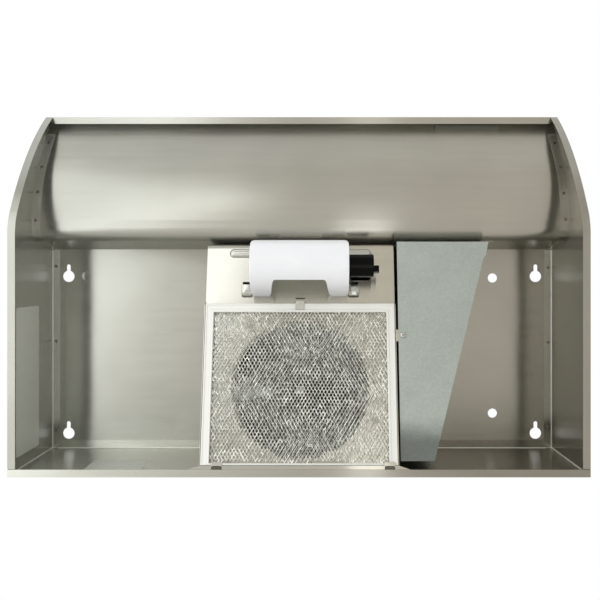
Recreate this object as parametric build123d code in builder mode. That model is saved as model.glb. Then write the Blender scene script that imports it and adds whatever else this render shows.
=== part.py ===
from build123d import *

import os
from math import acos, atan, atan2, cos, hypot, radians, sin

# An under-cabinet range hood, seen from below in use. Millimetres.
# Origin: centre of the four cabinet keyholes on the upper face of the top panel.
# +Z is up towards the cabinet, -Y is the front lip, +Y is the wall, +X is the wiring side.

os.makedirs("parts", exist_ok=True)

# ---- canopy shell ----
hood_width = 762.0  # over the side panels
hood_depth = 500.0  # lip face to wall face
hood_height = 178.0  # cabinet face to rim
rear_reach = 143.0  # keyhole centre to wall face
sheet = 0.8  # stainless and galvanised sheet
lip_height = 27.0
rim_flange = 10.0
lap_flange = 12.5
side_gap = 0.3  # between pieces that lie side by side
rim_straight = 333.0  # level run of the side rim, from the wall
rim_bulge = 13.5  # rise of the curved rim over its chord
rim_bend = 60.0  # radius where the level rim turns into the curve
lip_clearance = 1.5  # side panel stops this far below the lip flange

# ---- cabinet keyholes, cable holes and rear knockout ----
keyhole_side = 25.4  # keyhole centre from the outside of the side panel
keyhole_spacing_y = 239.0
keyhole_radius = 8.65
keyhole_slot = 5.6
keyhole_reach = 18.2  # circle centre to the end of the slot
cable_hole_radius = 7.0
cable_hole_side = 91.0  # from the outside of the right side panel
cable_hole_front_y = -117.0
cable_hole_spacing = 206.0
knockout_score = 0.4  # depth of the scored line round the duct knockout
score_width = 0.9
duct_knockout_width = 254.0  # rear duct knockout, 10 by 3 1/4 in
duct_knockout_height = 82.6

# ---- inner front panel ----
visor_flange_foot = 4.8  # lower edge of the flange that lies against the lip
visor_turn_y = -292.0  # where the straight slope turns into the curve
visor_turn_drop = 54.5
visor_low_y = -199.0  # rear end of the curve
visor_drop = 88.7  # lowest line of the panel
visor_heel_y = -171.8  # corner before the steep wall
visor_rear_y = -160.6  # where the steep wall meets the top panel
visor_bend = 18.0
weld_strip = 12.4  # flange of each side panel under the end of the panel

# ---- filter housing ----
housing_width = 262.0
plate_front_y = -157.0
plate_front_drop = 92.0
plate_rear_y = 131.0
plate_rear_drop = 166.8
front_wall_top_y = -152.0
front_wall_foot_y = -165.4
front_bend = 8.0
fan_y = 32.5
venturi_radius = 89.0
venturi_lip = 5.0  # flare of the turned-up edge
skirt_depth = 10.4  # side wall below the plate, beside the filter
skirt_lead = 2.0  # start of that wall ahead of the filter
gusset = 15.0  # ear at each rear corner of the housing
bead_length = 199.0
bead_width = 12.0
bead_height = 3.0
bead_y = -151.8
bead_side_angle = 40.0
lance_width = 15.0
lance_length = 22.0
lance_height = 5.0
lance_slot = 5.0  # open slot ahead of the raised tab
lance_y = -101.0

# ---- filter ----
filter_side = 2.0  # free space between the filter and each side wall
filter_length = 219.0
filter_thickness = 8.5
filter_rise = 1.6  # free space between filter and plate
filter_rear = 101.0  # along the plate from the fan centre
frame_band = 9.0
frame_skin = 0.7
mesh_pitch_x = 30.0
mesh_pitch_y = 25.0
mesh_strand = 3.4
clip_width = 13.6
clip_reach = 4.6
clip_inset = 17.5  # clip centre from the housing's side wall
clip_shift = 5.5  # the pair sits this far to the right of the middle
clip_notch = 5.5
hook_gap = 0.5
latch_width = 12.4
latch_length = 11.5
latch_skin = 0.8
latch_rise = 12.0

# ---- lamp ----
lamp_drop = 33.0  # lamp axis below the plate
lamp_along = -163.4  # up the plate from the fan centre
lens_radius = 35.0
lens_skin = 2.0
lens_width = 132.0
lens_top_drop = 96.0
lens_foot_y = -91.5
lens_corner = 6.0
notch_width_top = 70.0
notch_width_foot = 79.0
notch_y = -114.9
notch_corner = 4.0
lens_toe = 5.0  # each foot narrows by this at its end
lens_tongue = 14.0
lens_tongue_x = 38.0
tongue_slot = 6.5
tongue_pin_radius = 1.2
socket_radius = 15.5
socket_length = 33.0
socket_gap = 1.0  # from the lens's open end
socket_corner = 3.0
shell_radius = 13.4
shell_skin = 0.4
shell_length = 24.0
socket_foot = 26.0  # length of the foot on the light panel
tail_width = 9.0
tail_length = 7.5
contact_radius = 5.0
contact_height = 4.0

# ---- fan ----
motor_radius = 42.0
motor_seat = 33.6  # radius of the bracket's round seat
motor_length = 50.0
motor_round = 7.0
bridge_rise = 52.0
bridge_margin = 11.0  # each leg outside the venturi
bridge_width = 20.0
bridge_skin = 1.5
bridge_foot = 18.0
boss_radius = 13.0
shaft_radius = 3.175
running_gap = 0.05
shaft_low = 6.5
boss_height = 3.0
nut_height = 5.0
blade_count = 5
blade_skin = 1.0
fan_radius = 82.5
fan_mid = 27.0
hub_radius = 11.0
hub_length = 16.0
spider_radius = 27.0
root_radius = 20.0
root_chord = 26.0
tip_chord = 74.0
blade_pitch = 25.0
blade_camber = 0.09  # rise of the blade's curve over its chord

# ---- duct collar and damper ----
duct_y = 40.0
collar_radius = 88.0
collar_height = 45.0
collar_flange = 10.0  # square plate beyond the collar
damper_rise = 14.0
damper_skin = 0.6
damper_gap = 0.5
lug_width = 12.0
lug_reach = 3.0
damper_pin_radius = 1.5
knuckle_radius = 2.6
knuckle_length = 20.0
knuckle_pitch = 27.0

# ---- controls ----
control_side = 131.0  # middle of the row from the outside of the right side panel
control_drop = 18.0  # middle of the row below the top panel's upper face
control_length = 96.0
control_height = 13.0
control_depth = 8.5
button_radius = 5.0
button_pitch = 26.0
button_stand = 0.4
button_length = 6.0
button_gap = 0.3
button_travel = 1.2

# ---- wiring compartment ----
cover_gap = 3.0  # from the filter housing's side wall
cover_front_y = -167.7
cover_front_drop = 110.0
cover_front_right = 261.3
cover_step_right = 257.0
cover_step_y = -149.0
cover_slant_right = 253.0
cover_slant_y = -143.0
cover_rear_right = 178.8
cover_rear_y = 124.1
cover_rear_drop = 168.0
cover_front_lean = 13.0
cover_screw_inset = 9.4  # from the filter housing's side wall
cover_screw_y = -39.4
tab_width = 16.0
tab_skin = 1.2
block_x = 195.0
block_y = -70.0
block_length = 60.0
block_width = 22.0
block_height = 16.0
terminal_pitch = 18.0

# ---- fasteners ----
screw_radius = 2.1
screw_head_radius = 4.2
screw_head_height = 2.4
screw_length = 4.8

# ---- worked out from the above ----
half_width = hood_width / 2
keyhole_spacing_x = hood_width - 2 * keyhole_side
cable_hole_x = half_width - cable_hole_side
control_x = half_width - control_side
back_y = rear_reach
front_y = rear_reach - hood_depth
side_front_y = front_y + sheet
side_back_y = back_y - sheet
rim_turn_y = back_y - rim_straight
half_housing = housing_width / 2
filter_width = housing_width - 2 * filter_side
clip_x = half_housing - clip_inset
bridge_span = 2 * (venturi_radius + bridge_margin)
collar_plate = 2 * (collar_radius + collar_flange)
cover_left_x = half_housing + cover_gap
cover_screw_x = half_housing + cover_screw_inset
socket_x = lens_width / 2 + socket_gap
slope = (plate_rear_drop - plate_front_drop) / (plate_rear_y - plate_front_y)
tilt = atan(slope)
fan_z = -plate_rear_drop + (plate_rear_y - fan_y) * slope
filter_front = filter_rear - filter_length
filter_low = -filter_rise - filter_thickness
flange_z = -hood_height + sheet  # upper face of the back panel's rim flange

# plate: underside of the sloped plate, x across, y along it towards the wall, z away from the room
plate = Plane(origin=(0, fan_y, fan_z), x_dir=(1, 0, 0), z_dir=(0, sin(tilt), cos(tilt)))
plate_side = Plane(origin=plate.origin, x_dir=plate.y_dir, z_dir=(1, 0, 0))
plate_cross = Plane(origin=plate.origin, x_dir=(1, 0, 0), z_dir=-plate.y_dir)
fan_axis = Axis(plate.origin, plate.z_dir)


def slope_point(along, up):
    """Section point (y, z) of a place given along the plate and away from its underside."""
    return (fan_y + along * cos(tilt) + up * sin(tilt), fan_z - along * sin(tilt) + up * cos(tilt))


def along_at(y):
    """Place along the plate's underside that lies at y."""
    return (y - fan_y) / cos(tilt)


# ================================================================ canopy shell
with BuildPart() as top_panel:
    with BuildSketch(Plane.YZ):
        with BuildLine():
            Polyline((back_y, 0), (front_y, 0), (front_y, -lip_height))
            offset(amount=sheet, side=Side.LEFT)
        make_face()
    extrude(amount=half_width, both=True)
    with BuildSketch(Plane.XY.offset(-lip_height)):
        with BuildLine():
            Polyline(
                (-half_width + sheet, front_y + sheet),
                (half_width - sheet, front_y + sheet),
                (half_width - rim_flange, front_y + rim_flange),
                (-half_width + rim_flange, front_y + rim_flange),
                close=True,
            )
        make_face()
    extrude(amount=sheet)
    with BuildSketch(Plane.XY):
        with GridLocations(keyhole_spacing_x, keyhole_spacing_y, 2, 2):
            Circle(keyhole_radius)
            with Locations((0, -(keyhole_reach - keyhole_slot / 2) / 2)):
                SlotCenterToCenter(keyhole_reach - keyhole_slot / 2, keyhole_slot, rotation=90)
        with Locations(
            (cable_hole_x, cable_hole_front_y), (cable_hole_x, cable_hole_front_y + cable_hole_spacing)
        ):
            Circle(cable_hole_radius)
        with Locations((0, duct_y)):
            Circle(collar_radius - 2 * sheet)
    extrude(amount=-sheet, mode=Mode.SUBTRACT)
    with BuildSketch(Plane.XZ.offset(-front_y)):
        with Locations((control_x, -control_drop)):
            with GridLocations(button_pitch, 1, 3, 1):
                Circle(button_radius + button_gap)
    extrude(amount=-sheet, mode=Mode.SUBTRACT)
top_panel.part.label = "top_panel"

with BuildPart() as back_panel:
    with BuildSketch(Plane.YZ):
        with BuildLine():
            Polyline(
                (back_y - sheet - lap_flange, -sheet),
                (back_y, -sheet),
                (back_y, -hood_height),
                (back_y - rim_flange, -hood_height),
            )
            offset(amount=sheet, side=Side.RIGHT)
        make_face()
    extrude(amount=half_width, both=True)
    lap_height = 2 * sheet + side_gap
    with BuildSketch(Plane.XZ.offset(-side_back_y)):
        with Locations((0, -lap_height / 2)):
            Rectangle(housing_width + 2 * side_gap, lap_height)
            with GridLocations(2 * half_width - lap_flange - sheet, 1, 2, 1):
                Rectangle(lap_flange + sheet + 2 * side_gap, lap_height)
    extrude(amount=lap_flange + sheet, mode=Mode.SUBTRACT)
    with BuildSketch(Plane.XZ.offset(-back_y)):
        with Locations((0, -lap_flange - duct_knockout_height / 2)):
            RectangleRounded(duct_knockout_width, duct_knockout_height, score_width * 3)
            RectangleRounded(
                duct_knockout_width - 2 * score_width,
                duct_knockout_height - 2 * score_width,
                score_width * 2,
                mode=Mode.SUBTRACT,
            )
    extrude(amount=-knockout_score, mode=Mode.SUBTRACT)
back_panel.part.label = "back_panel"

# room side of the inner front panel, from its flange on the lip to the top panel
with BuildLine() as visor_line:
    visor_slope = Line((side_front_y, -visor_flange_foot), (visor_turn_y, -visor_turn_drop))
    TangentArc(visor_slope @ 1, (visor_low_y, -visor_drop), tangent=visor_slope % 1)
    Polyline((visor_low_y, -visor_drop), (visor_heel_y, -visor_drop), (visor_rear_y, -sheet))
    fillet(visor_line.vertices().sort_by_distance((visor_heel_y, -visor_drop))[0], visor_bend)

with BuildPart() as side_panel_left:
    with BuildSketch(Plane.YZ.offset(-half_width)) as side_outline:
        rim_foot = (side_front_y, -lip_height - lip_clearance)
        with BuildLine():
            Polyline(
                rim_foot,
                (side_front_y, -sheet),
                (side_back_y, -sheet),
                (side_back_y, -hood_height),
                (rim_turn_y, -hood_height),
            )
            SagittaArc((rim_turn_y, -hood_height), rim_foot, rim_bulge)
        make_face()
        fillet(side_outline.vertices().sort_by_distance((rim_turn_y, -hood_height))[0], rim_bend)
    extrude(amount=rim_flange)
    with BuildSketch(Plane.YZ.offset(-half_width + sheet)):
        add(side_outline.sketch_local)
        offset(amount=-sheet)
    extrude(amount=rim_flange, mode=Mode.SUBTRACT)
    with BuildSketch(Plane.XY.offset(-2 * sheet)):
        with Locations((-half_width, side_back_y)):
            Rectangle(lap_flange, side_back_y - visor_rear_y, align=(Align.MIN, Align.MAX))
    extrude(amount=sheet)
    with BuildSketch(Plane.XY.offset(-hood_height)):
        with Locations((-half_width, back_y)):
            Rectangle(rim_flange, rim_flange + sheet, align=(Align.MIN, Align.MAX))
    extrude(amount=sheet, mode=Mode.SUBTRACT)
    # notch for the lip's own flange
    with BuildSketch(Plane.XY.offset(-lip_height + 2 * sheet)):
        with Locations((-half_width + sheet, side_front_y)):
            Rectangle(rim_flange, sheet, align=(Align.MIN, Align.MIN))
    extrude(amount=-2 * sheet - lip_clearance, mode=Mode.SUBTRACT)
    # flange that follows the inner front panel and is welded to it
    with BuildSketch(Plane.YZ.offset(-half_width)):
        with BuildLine():
            add(visor_line.line)
            offset(amount=sheet, side=Side.RIGHT)
        make_face()
        with Locations((side_front_y, 0)):
            Rectangle(2 * sheet, 2 * lip_height, mode=Mode.SUBTRACT)
    extrude(amount=weld_strip)
side_panel_left.part.label = "side_panel_left"

with BuildPart() as side_panel_right:
    mirror(side_panel_left.part, about=Plane.YZ)
side_panel_right.part.label = "side_panel_right"

with BuildPart() as inner_front_panel:
    with BuildSketch(Plane.YZ):
        with BuildLine():
            Line((side_front_y, -2 * sheet), (side_front_y, -visor_flange_foot))
            add(visor_line.line)
            Line((visor_rear_y, -sheet), (visor_rear_y - lap_flange, -sheet))
            offset(amount=sheet, side=Side.LEFT)
        make_face()
    extrude(amount=half_width - sheet - side_gap, both=True)
    # notches for the side panels' own flanges
    with BuildSketch(Plane.XY.offset(-visor_flange_foot - 2 * sheet)):
        with GridLocations(hood_width - rim_flange, 1, 2, 1):
            with Locations((0, side_front_y)):
                Rectangle(rim_flange + 2 * side_gap, sheet + side_gap, align=(Align.CENTER, Align.MIN))
    extrude(amount=visor_flange_foot, mode=Mode.SUBTRACT)
    with BuildSketch(Plane.XY.offset(-2 * sheet)):
        with GridLocations(hood_width - rim_flange, 1, 2, 1):
            with Locations((0, visor_rear_y)):
                Rectangle(rim_flange + 2 * side_gap, lap_flange + sheet, align=(Align.CENTER, Align.MAX))
    extrude(amount=sheet, mode=Mode.SUBTRACT)
inner_front_panel.part.label = "inner_front_panel"

# ================================================================ filter housing
back_seat_y = side_back_y - side_gap
step_rear = filter_rear + hook_gap
step_foot_up = (flange_z - slope_point(step_rear, 0)[1]) / cos(tilt)
front_wall_foot = (front_wall_foot_y, fan_z + (fan_y - front_wall_foot_y) * slope)
front_wall_top = (front_wall_top_y, -sheet)
step_foot = slope_point(step_rear, step_foot_up)
skirt_front = filter_front - skirt_lead
wall_run = Vector(*front_wall_top) - Vector(*front_wall_foot)
plate_run = Vector(*slope_point(1, 0)) - Vector(*slope_point(0, 0))
bend_inward = (wall_run.normalized() + plate_run.normalized()).normalized()
bend_half = radians(wall_run.get_angle(plate_run)) / 2
bend_centre = Vector(*front_wall_foot) + bend_inward * (front_bend / sin(bend_half))
bend_face = bend_centre - bend_inward * (front_bend - sheet / 2)
lens_pivot = (0, bend_face.X, bend_face.Y)

with BuildPart() as filter_housing:
    with BuildSketch(Plane.YZ) as housing_section:
        with BuildLine():
            Polyline(
                front_wall_top,
                front_wall_foot,
                slope_point(skirt_front, 0),
                slope_point(skirt_front + skirt_depth / 2, -skirt_depth),
                slope_point(step_rear, -skirt_depth),
                step_foot,
                (back_seat_y, flange_z),
                (back_seat_y, -sheet),
                close=True,
            )
        make_face()
        fillet(housing_section.vertices().sort_by_distance(front_wall_foot)[0], front_bend)
    extrude(amount=half_housing, both=True)
    with BuildSketch(Plane.YZ):
        add(housing_section.sketch_local)
    extrude(amount=half_housing - sheet, both=True, mode=Mode.SUBTRACT)
    with BuildSketch(Plane.YZ):
        with BuildLine() as housing_line:
            Polyline(
                (front_wall_top_y + lap_flange, -sheet),
                front_wall_top,
                front_wall_foot,
                slope_point(step_rear, 0),
                step_foot,
                (back_seat_y, flange_z),
            )
            fillet(housing_line.vertices().sort_by_distance(front_wall_foot)[0], front_bend)
            offset(amount=sheet, side=Side.LEFT)
        make_face()
    extrude(amount=half_housing, both=True)
    # flanges turned in under the top panel
    with BuildSketch(Plane.XY.offset(-2 * sheet)):
        with GridLocations(housing_width - lap_flange, 1, 2, 1):
            with Locations((0, (front_wall_top_y + back_seat_y) / 2)):
                Rectangle(lap_flange, back_seat_y - front_wall_top_y)
    extrude(amount=sheet)
    # ears at the rear corners, lying on the rim flange
    with BuildSketch(Plane.XY.offset(flange_z)):
        with BuildLine():
            Polyline(
                (half_housing - sheet, step_foot[0]),
                (half_housing, step_foot[0]),
                (half_housing + gusset, back_y - rim_flange),
                (half_housing + gusset, back_seat_y),
                (half_housing - sheet, back_seat_y),
                close=True,
            )
        make_face()
        mirror(about=Plane.YZ)
    extrude(amount=sheet)
    # venturi: the plate's edge turned up round the fan opening
    flare_radius = venturi_radius + venturi_lip
    with BuildSketch(plate):
        Circle(flare_radius)
    extrude(amount=sheet, mode=Mode.SUBTRACT)
    with BuildSketch(plate_cross):
        with BuildLine():
            Line((flare_radius, 0), (venturi_radius, venturi_lip))
            offset(amount=sheet, side=Side.RIGHT)
        make_face()
    revolve(axis=fan_axis)
    # stiffening bead across the light panel
    bead_at = (0, along_at(bead_y))
    with BuildSketch(plate):
        with Locations(bead_at):
            SlotOverall(bead_length, bead_width)
    extrude(amount=-bead_height, taper=bead_side_angle)
    with BuildSketch(plate.offset(sheet)):
        with Locations(bead_at):
            SlotOverall(bead_length - sheet, bead_width - sheet)
    extrude(amount=-bead_height, taper=bead_side_angle, mode=Mode.SUBTRACT)
    # lanced louvres beside the lens feet, open towards the front
    lance_at = along_at(lance_y)
    lance_x = lens_width / 2 + side_gap + lance_width / 2
    for hand in (-1, 1):
        lance_side = Plane(
            origin=plate_side.origin + Vector(hand * lance_x, 0, 0), x_dir=plate.y_dir, z_dir=(1, 0, 0)
        )
        front_end = lance_at - lance_length / 2 + lance_slot
        rear_end = lance_at + lance_length / 2
        with BuildSketch(plate):
            with Locations((hand * lance_x, front_end - lance_slot / 2)):
                Rectangle(lance_width - 2 * sheet, lance_slot)
        extrude(amount=sheet, mode=Mode.SUBTRACT)
        with BuildSketch(lance_side) as lance_profile:
            with BuildLine():
                Polyline(
                    (front_end, 0),
                    (front_end, -lance_height),
                    (rear_end - lance_height, -lance_height),
                    (rear_end, 0),
                    close=True,
                )
            make_face()
        extrude(amount=lance_width / 2, both=True)
        with BuildSketch(lance_side):
            with BuildLine():
                Polyline(
                    (front_end, sheet),
                    (front_end, -lance_height + sheet),
                    (rear_end - lance_height, -lance_height + sheet),
                    (rear_end - sheet, sheet),
                    close=True,
                )
            make_face()
        extrude(amount=lance_width / 2 - sheet, both=True, mode=Mode.SUBTRACT)
    # slot that the latch hook enters
    with BuildSketch(plate):
        with Locations((0, filter_front - latch_skin)):
            Rectangle(latch_width + 2, 4 * latch_skin + 2 * hook_gap)
    extrude(amount=sheet, mode=Mode.SUBTRACT)
    # slots in the front bend for the lens tongues
    bend_plane = Plane(origin=lens_pivot, x_dir=(1, 0, 0), z_dir=(0, -bend_inward.X, -bend_inward.Y))
    with BuildSketch(bend_plane):
        with GridLocations(2 * lens_tongue_x, 1, 2, 1):
            Rectangle(lens_tongue + 2 * hook_gap, tongue_slot)
    extrude(amount=2 * sheet, both=True, mode=Mode.SUBTRACT)
    # notches in the rear flange and the clips that carry the filter's rear edge
    with BuildSketch(Plane.XY.offset(flange_z)):
        with GridLocations(2 * clip_x, 1, 2, 1):
            with Locations((clip_shift, step_foot[0] + sheet + clip_notch + side_gap)):
                Rectangle(clip_width, 2 * clip_notch)
    extrude(amount=sheet, mode=Mode.SUBTRACT)
    clip_low = filter_low - side_gap - sheet
    for hand in (-1, 1):
        clip_side = Plane(
            origin=plate_side.origin + Vector(hand * clip_x + clip_shift, 0, 0),
            x_dir=plate.y_dir,
            z_dir=(1, 0, 0),
        )
        with BuildSketch(clip_side):
            with BuildLine():
                Polyline(
                    (step_rear + sheet, step_foot_up + 2 * sheet),
                    (step_rear + sheet, clip_low),
                    (step_rear - clip_reach, clip_low),
                    (step_rear - clip_reach, clip_low + sheet),
                    (step_rear, clip_low + sheet),
                    (step_rear, step_foot_up + 2 * sheet),
                    close=True,
                )
            make_face()
        extrude(amount=clip_width / 2, both=True)
    # tab for the wiring cover's screw
    cover_slope = (cover_rear_drop - cover_front_drop) / (cover_rear_y - cover_front_y)
    cover_tilt = atan(cover_slope)
    cover_plane = Plane(
        origin=(0, cover_front_y, -cover_front_drop),
        x_dir=(1, 0, 0),
        z_dir=(0, sin(cover_tilt), cos(cover_tilt)),
    )
    screw_along = (cover_screw_y - cover_front_y) / cos(cover_tilt)
    with BuildSketch(cover_plane.offset(sheet)):
        with Locations((half_housing - sheet, screw_along)):
            Rectangle(tab_width + sheet, tab_width, align=(Align.MIN, Align.CENTER))
        with Locations((cover_screw_x, screw_along)):
            Circle(screw_radius, mode=Mode.SUBTRACT)
    extrude(amount=tab_skin)
filter_housing.part.label = "filter_housing"

# ================================================================ filter
mesh_width = filter_width - 2 * frame_skin - 2 * side_gap
mesh_length = filter_length - 2 * frame_skin - 2 * side_gap
mesh_thickness = filter_thickness - 2 * frame_skin - 2 * side_gap
filter_centre = filter_rear - filter_length / 2
mesh_columns = int((mesh_width - 2 * frame_band) / mesh_pitch_x)
mesh_rows = int((mesh_length - 2 * frame_band) / mesh_pitch_y)

with BuildPart() as filter_frame:
    with BuildSketch(plate.offset(filter_low)):
        with Locations((0, filter_centre)):
            Rectangle(filter_width, filter_length)
            Rectangle(filter_width - 2 * frame_band, filter_length - 2 * frame_band, mode=Mode.SUBTRACT)
    extrude(amount=filter_thickness)
    with BuildSketch(plate.offset(filter_low + frame_skin)):
        with Locations((0, filter_centre)):
            Rectangle(filter_width - 2 * frame_skin, filter_length - 2 * frame_skin)
    extrude(amount=filter_thickness - 2 * frame_skin, mode=Mode.SUBTRACT)
filter_frame.part.label = "filter_frame"

with BuildPart() as filter_mesh:
    with BuildSketch(plate.offset(filter_low + frame_skin + side_gap)):
        with Locations((0, filter_centre)):
            Rectangle(mesh_width, mesh_length)
            opening = [
                (mesh_pitch_x / 2 - mesh_strand, 0),
                (0, mesh_pitch_y / 2 - mesh_strand),
                (-mesh_pitch_x / 2 + mesh_strand, 0),
                (0, -mesh_pitch_y / 2 + mesh_strand),
            ]
            with GridLocations(mesh_pitch_x, mesh_pitch_y, mesh_columns, mesh_rows):
                Polygon(*opening, mode=Mode.SUBTRACT)
            with GridLocations(mesh_pitch_x, mesh_pitch_y, mesh_columns - 1, mesh_rows - 1):
                Polygon(*opening, mode=Mode.SUBTRACT)
    extrude(amount=mesh_thickness)
filter_mesh.part.label = "filter_mesh"

with BuildPart() as filter_latch:
    with BuildSketch(plate.offset(filter_low - latch_skin)):
        with Locations((0, filter_front - latch_skin - side_gap)):
            Rectangle(latch_width, latch_length, align=(Align.CENTER, Align.MIN))
    extrude(amount=latch_skin)
    with BuildSketch(plate.offset(filter_low)):
        with Locations((0, filter_front - latch_skin - side_gap)):
            Rectangle(latch_width, latch_skin, align=(Align.CENTER, Align.MIN))
    extrude(amount=latch_rise)
filter_latch.part.label = "filter_latch"

# ================================================================ lamp
lamp_y, lamp_z = slope_point(lamp_along, -lamp_drop)
lens_foot_z = slope_point(along_at(lens_foot_y), 0)[1] - side_gap
foot_reach = hypot(lens_foot_y - lamp_y, lens_foot_z - lamp_z)
foot_angle = atan2(lens_foot_z - lamp_z, lens_foot_y - lamp_y) - acos(lens_radius / foot_reach)
lens_heel = (lamp_y + lens_radius * cos(foot_angle), lamp_z + lens_radius * sin(foot_angle))

with BuildPart() as lamp_lens:
    with BuildSketch(Plane.YZ):
        with BuildLine():
            lens_top = (lamp_y - lens_radius, -lens_top_drop)
            Line(lens_top, (lamp_y - lens_radius, lamp_z))
            ThreePointArc(
                (lamp_y - lens_radius, lamp_z), (lamp_y, lamp_z - lens_radius), lens_heel
            )
            Line(lens_heel, (lens_foot_y, lens_foot_z))
            offset(amount=lens_skin, side=Side.LEFT)
        make_face()
    extrude(amount=lens_width / 2, both=True)
    # left end wall
    with BuildSketch(Plane.YZ.offset(-lens_width / 2)):
        with BuildLine():
            Polyline(
                (lens_foot_y, lens_foot_z), (lamp_y - lens_radius + lens_skin, -lens_top_drop - lens_skin), lens_top
            )
            Line(lens_top, (lamp_y - lens_radius, lamp_z))
            ThreePointArc(
                (lamp_y - lens_radius, lamp_z), (lamp_y, lamp_z - lens_radius), lens_heel
            )
            Line(lens_heel, (lens_foot_y, lens_foot_z))
        make_face()
    extrude(amount=lens_skin)
    # rounded outline and the notch between the two feet
    with BuildSketch(Plane.XY):
        with Locations((0, (lamp_y - lens_radius + lens_foot_y) / 2)):
            RectangleRounded(lens_width, lens_foot_y - lamp_y + lens_radius, lens_corner)
    extrude(amount=-hood_height, mode=Mode.INTERSECT)
    with BuildSketch(Plane.XY) as lens_notch:
        with BuildLine():
            Polyline(
                (-notch_width_top / 2, notch_y),
                (notch_width_top / 2, notch_y),
                (notch_width_foot / 2, lens_foot_y - lens_toe),
                (notch_width_foot / 2 + lens_toe, lens_foot_y + lens_skin),
                (-notch_width_foot / 2 - lens_toe, lens_foot_y + lens_skin),
                (-notch_width_foot / 2, lens_foot_y - lens_toe),
                close=True,
            )
        make_face()
        fillet(lens_notch.vertices().group_by(Axis.Y)[0], notch_corner)
    extrude(amount=-hood_height, mode=Mode.SUBTRACT)
    # tongues that hook into the housing's front bend
    for hand in (-1, 1):
        with BuildSketch(Plane.YZ.offset(hand * lens_tongue_x)):
            with Locations((lens_pivot[1], lens_pivot[2])):
                Circle(tongue_pin_radius)
            with BuildLine():
                Polyline(
                    (lens_pivot[1] - tongue_pin_radius, lens_pivot[2]),
                    (lens_pivot[1], lens_pivot[2] - tongue_pin_radius),
                    (lamp_y - lens_radius + lens_skin, -lens_top_drop - lens_skin),
                    (lamp_y - lens_radius, -lens_top_drop),
                    close=True,
                )
            make_face()
        extrude(amount=lens_tongue / 2, both=True)
lamp_lens.part.label = "lamp_lens"

socket_plane = Plane(origin=(socket_x, lamp_y, lamp_z), x_dir=plate.y_dir, z_dir=(1, 0, 0))
with BuildPart() as lamp_socket:
    with BuildSketch(socket_plane):
        Circle(socket_radius)
    extrude(amount=socket_length)
    # rounded pillar that stands on the light panel
    with BuildSketch(plate.offset(-lamp_drop)):
        with Locations((socket_x + socket_length / 2, lamp_along)):
            RectangleRounded(socket_length - 2 * socket_corner, socket_radius, socket_corner)
    extrude(amount=lamp_drop)
    with BuildSketch(plate.offset(-2 * sheet)):
        with Locations((socket_x + socket_length / 2, lamp_along)):
            RectangleRounded(socket_length - 2 * socket_corner, socket_foot, socket_corner)
    extrude(amount=2 * sheet)
    with BuildSketch(socket_plane):
        Circle(shell_radius)
    extrude(amount=shell_length + 2 * side_gap, mode=Mode.SUBTRACT)
    # terminal tail at the closed end
    with BuildSketch(socket_plane.offset(socket_length)):
        with Locations((socket_radius / 3, 0)):
            Rectangle(tail_width, tail_width)
    extrude(amount=tail_length)
lamp_socket.part.label = "lamp_socket"

with BuildPart() as socket_shell:
    with BuildSketch(socket_plane.offset(2 * side_gap)):
        Circle(shell_radius - shell_skin)
        Circle(shell_radius - 2 * shell_skin, mode=Mode.SUBTRACT)
    extrude(amount=shell_length - 2 * side_gap)
socket_shell.part.label = "socket_shell"

with BuildPart() as socket_contact:
    contact_start = shell_length - contact_height
    with BuildSketch(socket_plane.offset(contact_start)):
        Circle(contact_radius)
    extrude(amount=contact_height + 2 * side_gap)
socket_contact.part.label = "socket_contact"

# ================================================================ fan
bridge_top = bridge_rise + bridge_skin

with BuildPart() as motor_bracket:
    with BuildSketch(plate_cross):
        with BuildLine():
            Polyline(
                (-bridge_span / 2 - bridge_skin - bridge_foot, sheet),
                (-bridge_span / 2, sheet),
                (-bridge_span / 2, bridge_rise),
                (bridge_span / 2, bridge_rise),
                (bridge_span / 2, sheet),
                (bridge_span / 2 + bridge_skin + bridge_foot, sheet),
            )
            offset(amount=bridge_skin, side=Side.LEFT)
        make_face()
    extrude(amount=bridge_width / 2, both=True)
    # round seat for the motor, wider than the strap
    with BuildSketch(plate.offset(bridge_rise)):
        Circle(motor_seat)
    extrude(amount=bridge_skin)
    with BuildSketch(plate.offset(bridge_rise)):
        Circle(boss_radius + running_gap)
    extrude(amount=bridge_skin, mode=Mode.SUBTRACT)
motor_bracket.part.label = "motor_bracket"

with BuildPart() as motor_housing:
    with BuildSketch(plate.offset(bridge_top)):
        Circle(motor_radius)
    extrude(amount=motor_length)
    chamfer(motor_housing.faces().sort_by(Axis.Z)[-1].edges(), motor_round)
    with BuildSketch(plate.offset(bridge_rise - boss_height)):
        Circle(boss_radius)
    extrude(amount=boss_height + bridge_skin)
    with BuildSketch(plate.offset(bridge_rise - boss_height)):
        Circle(shaft_radius + running_gap)
    extrude(amount=boss_height + bridge_skin + motor_length * 0.8, mode=Mode.SUBTRACT)
motor_housing.part.label = "motor_housing"

with BuildPart() as motor_shaft:
    with BuildSketch(plate.offset(shaft_low)):
        Circle(shaft_radius)
    extrude(amount=bridge_top + motor_length / 2 - shaft_low)
motor_shaft.part.label = "motor_shaft"


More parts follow.
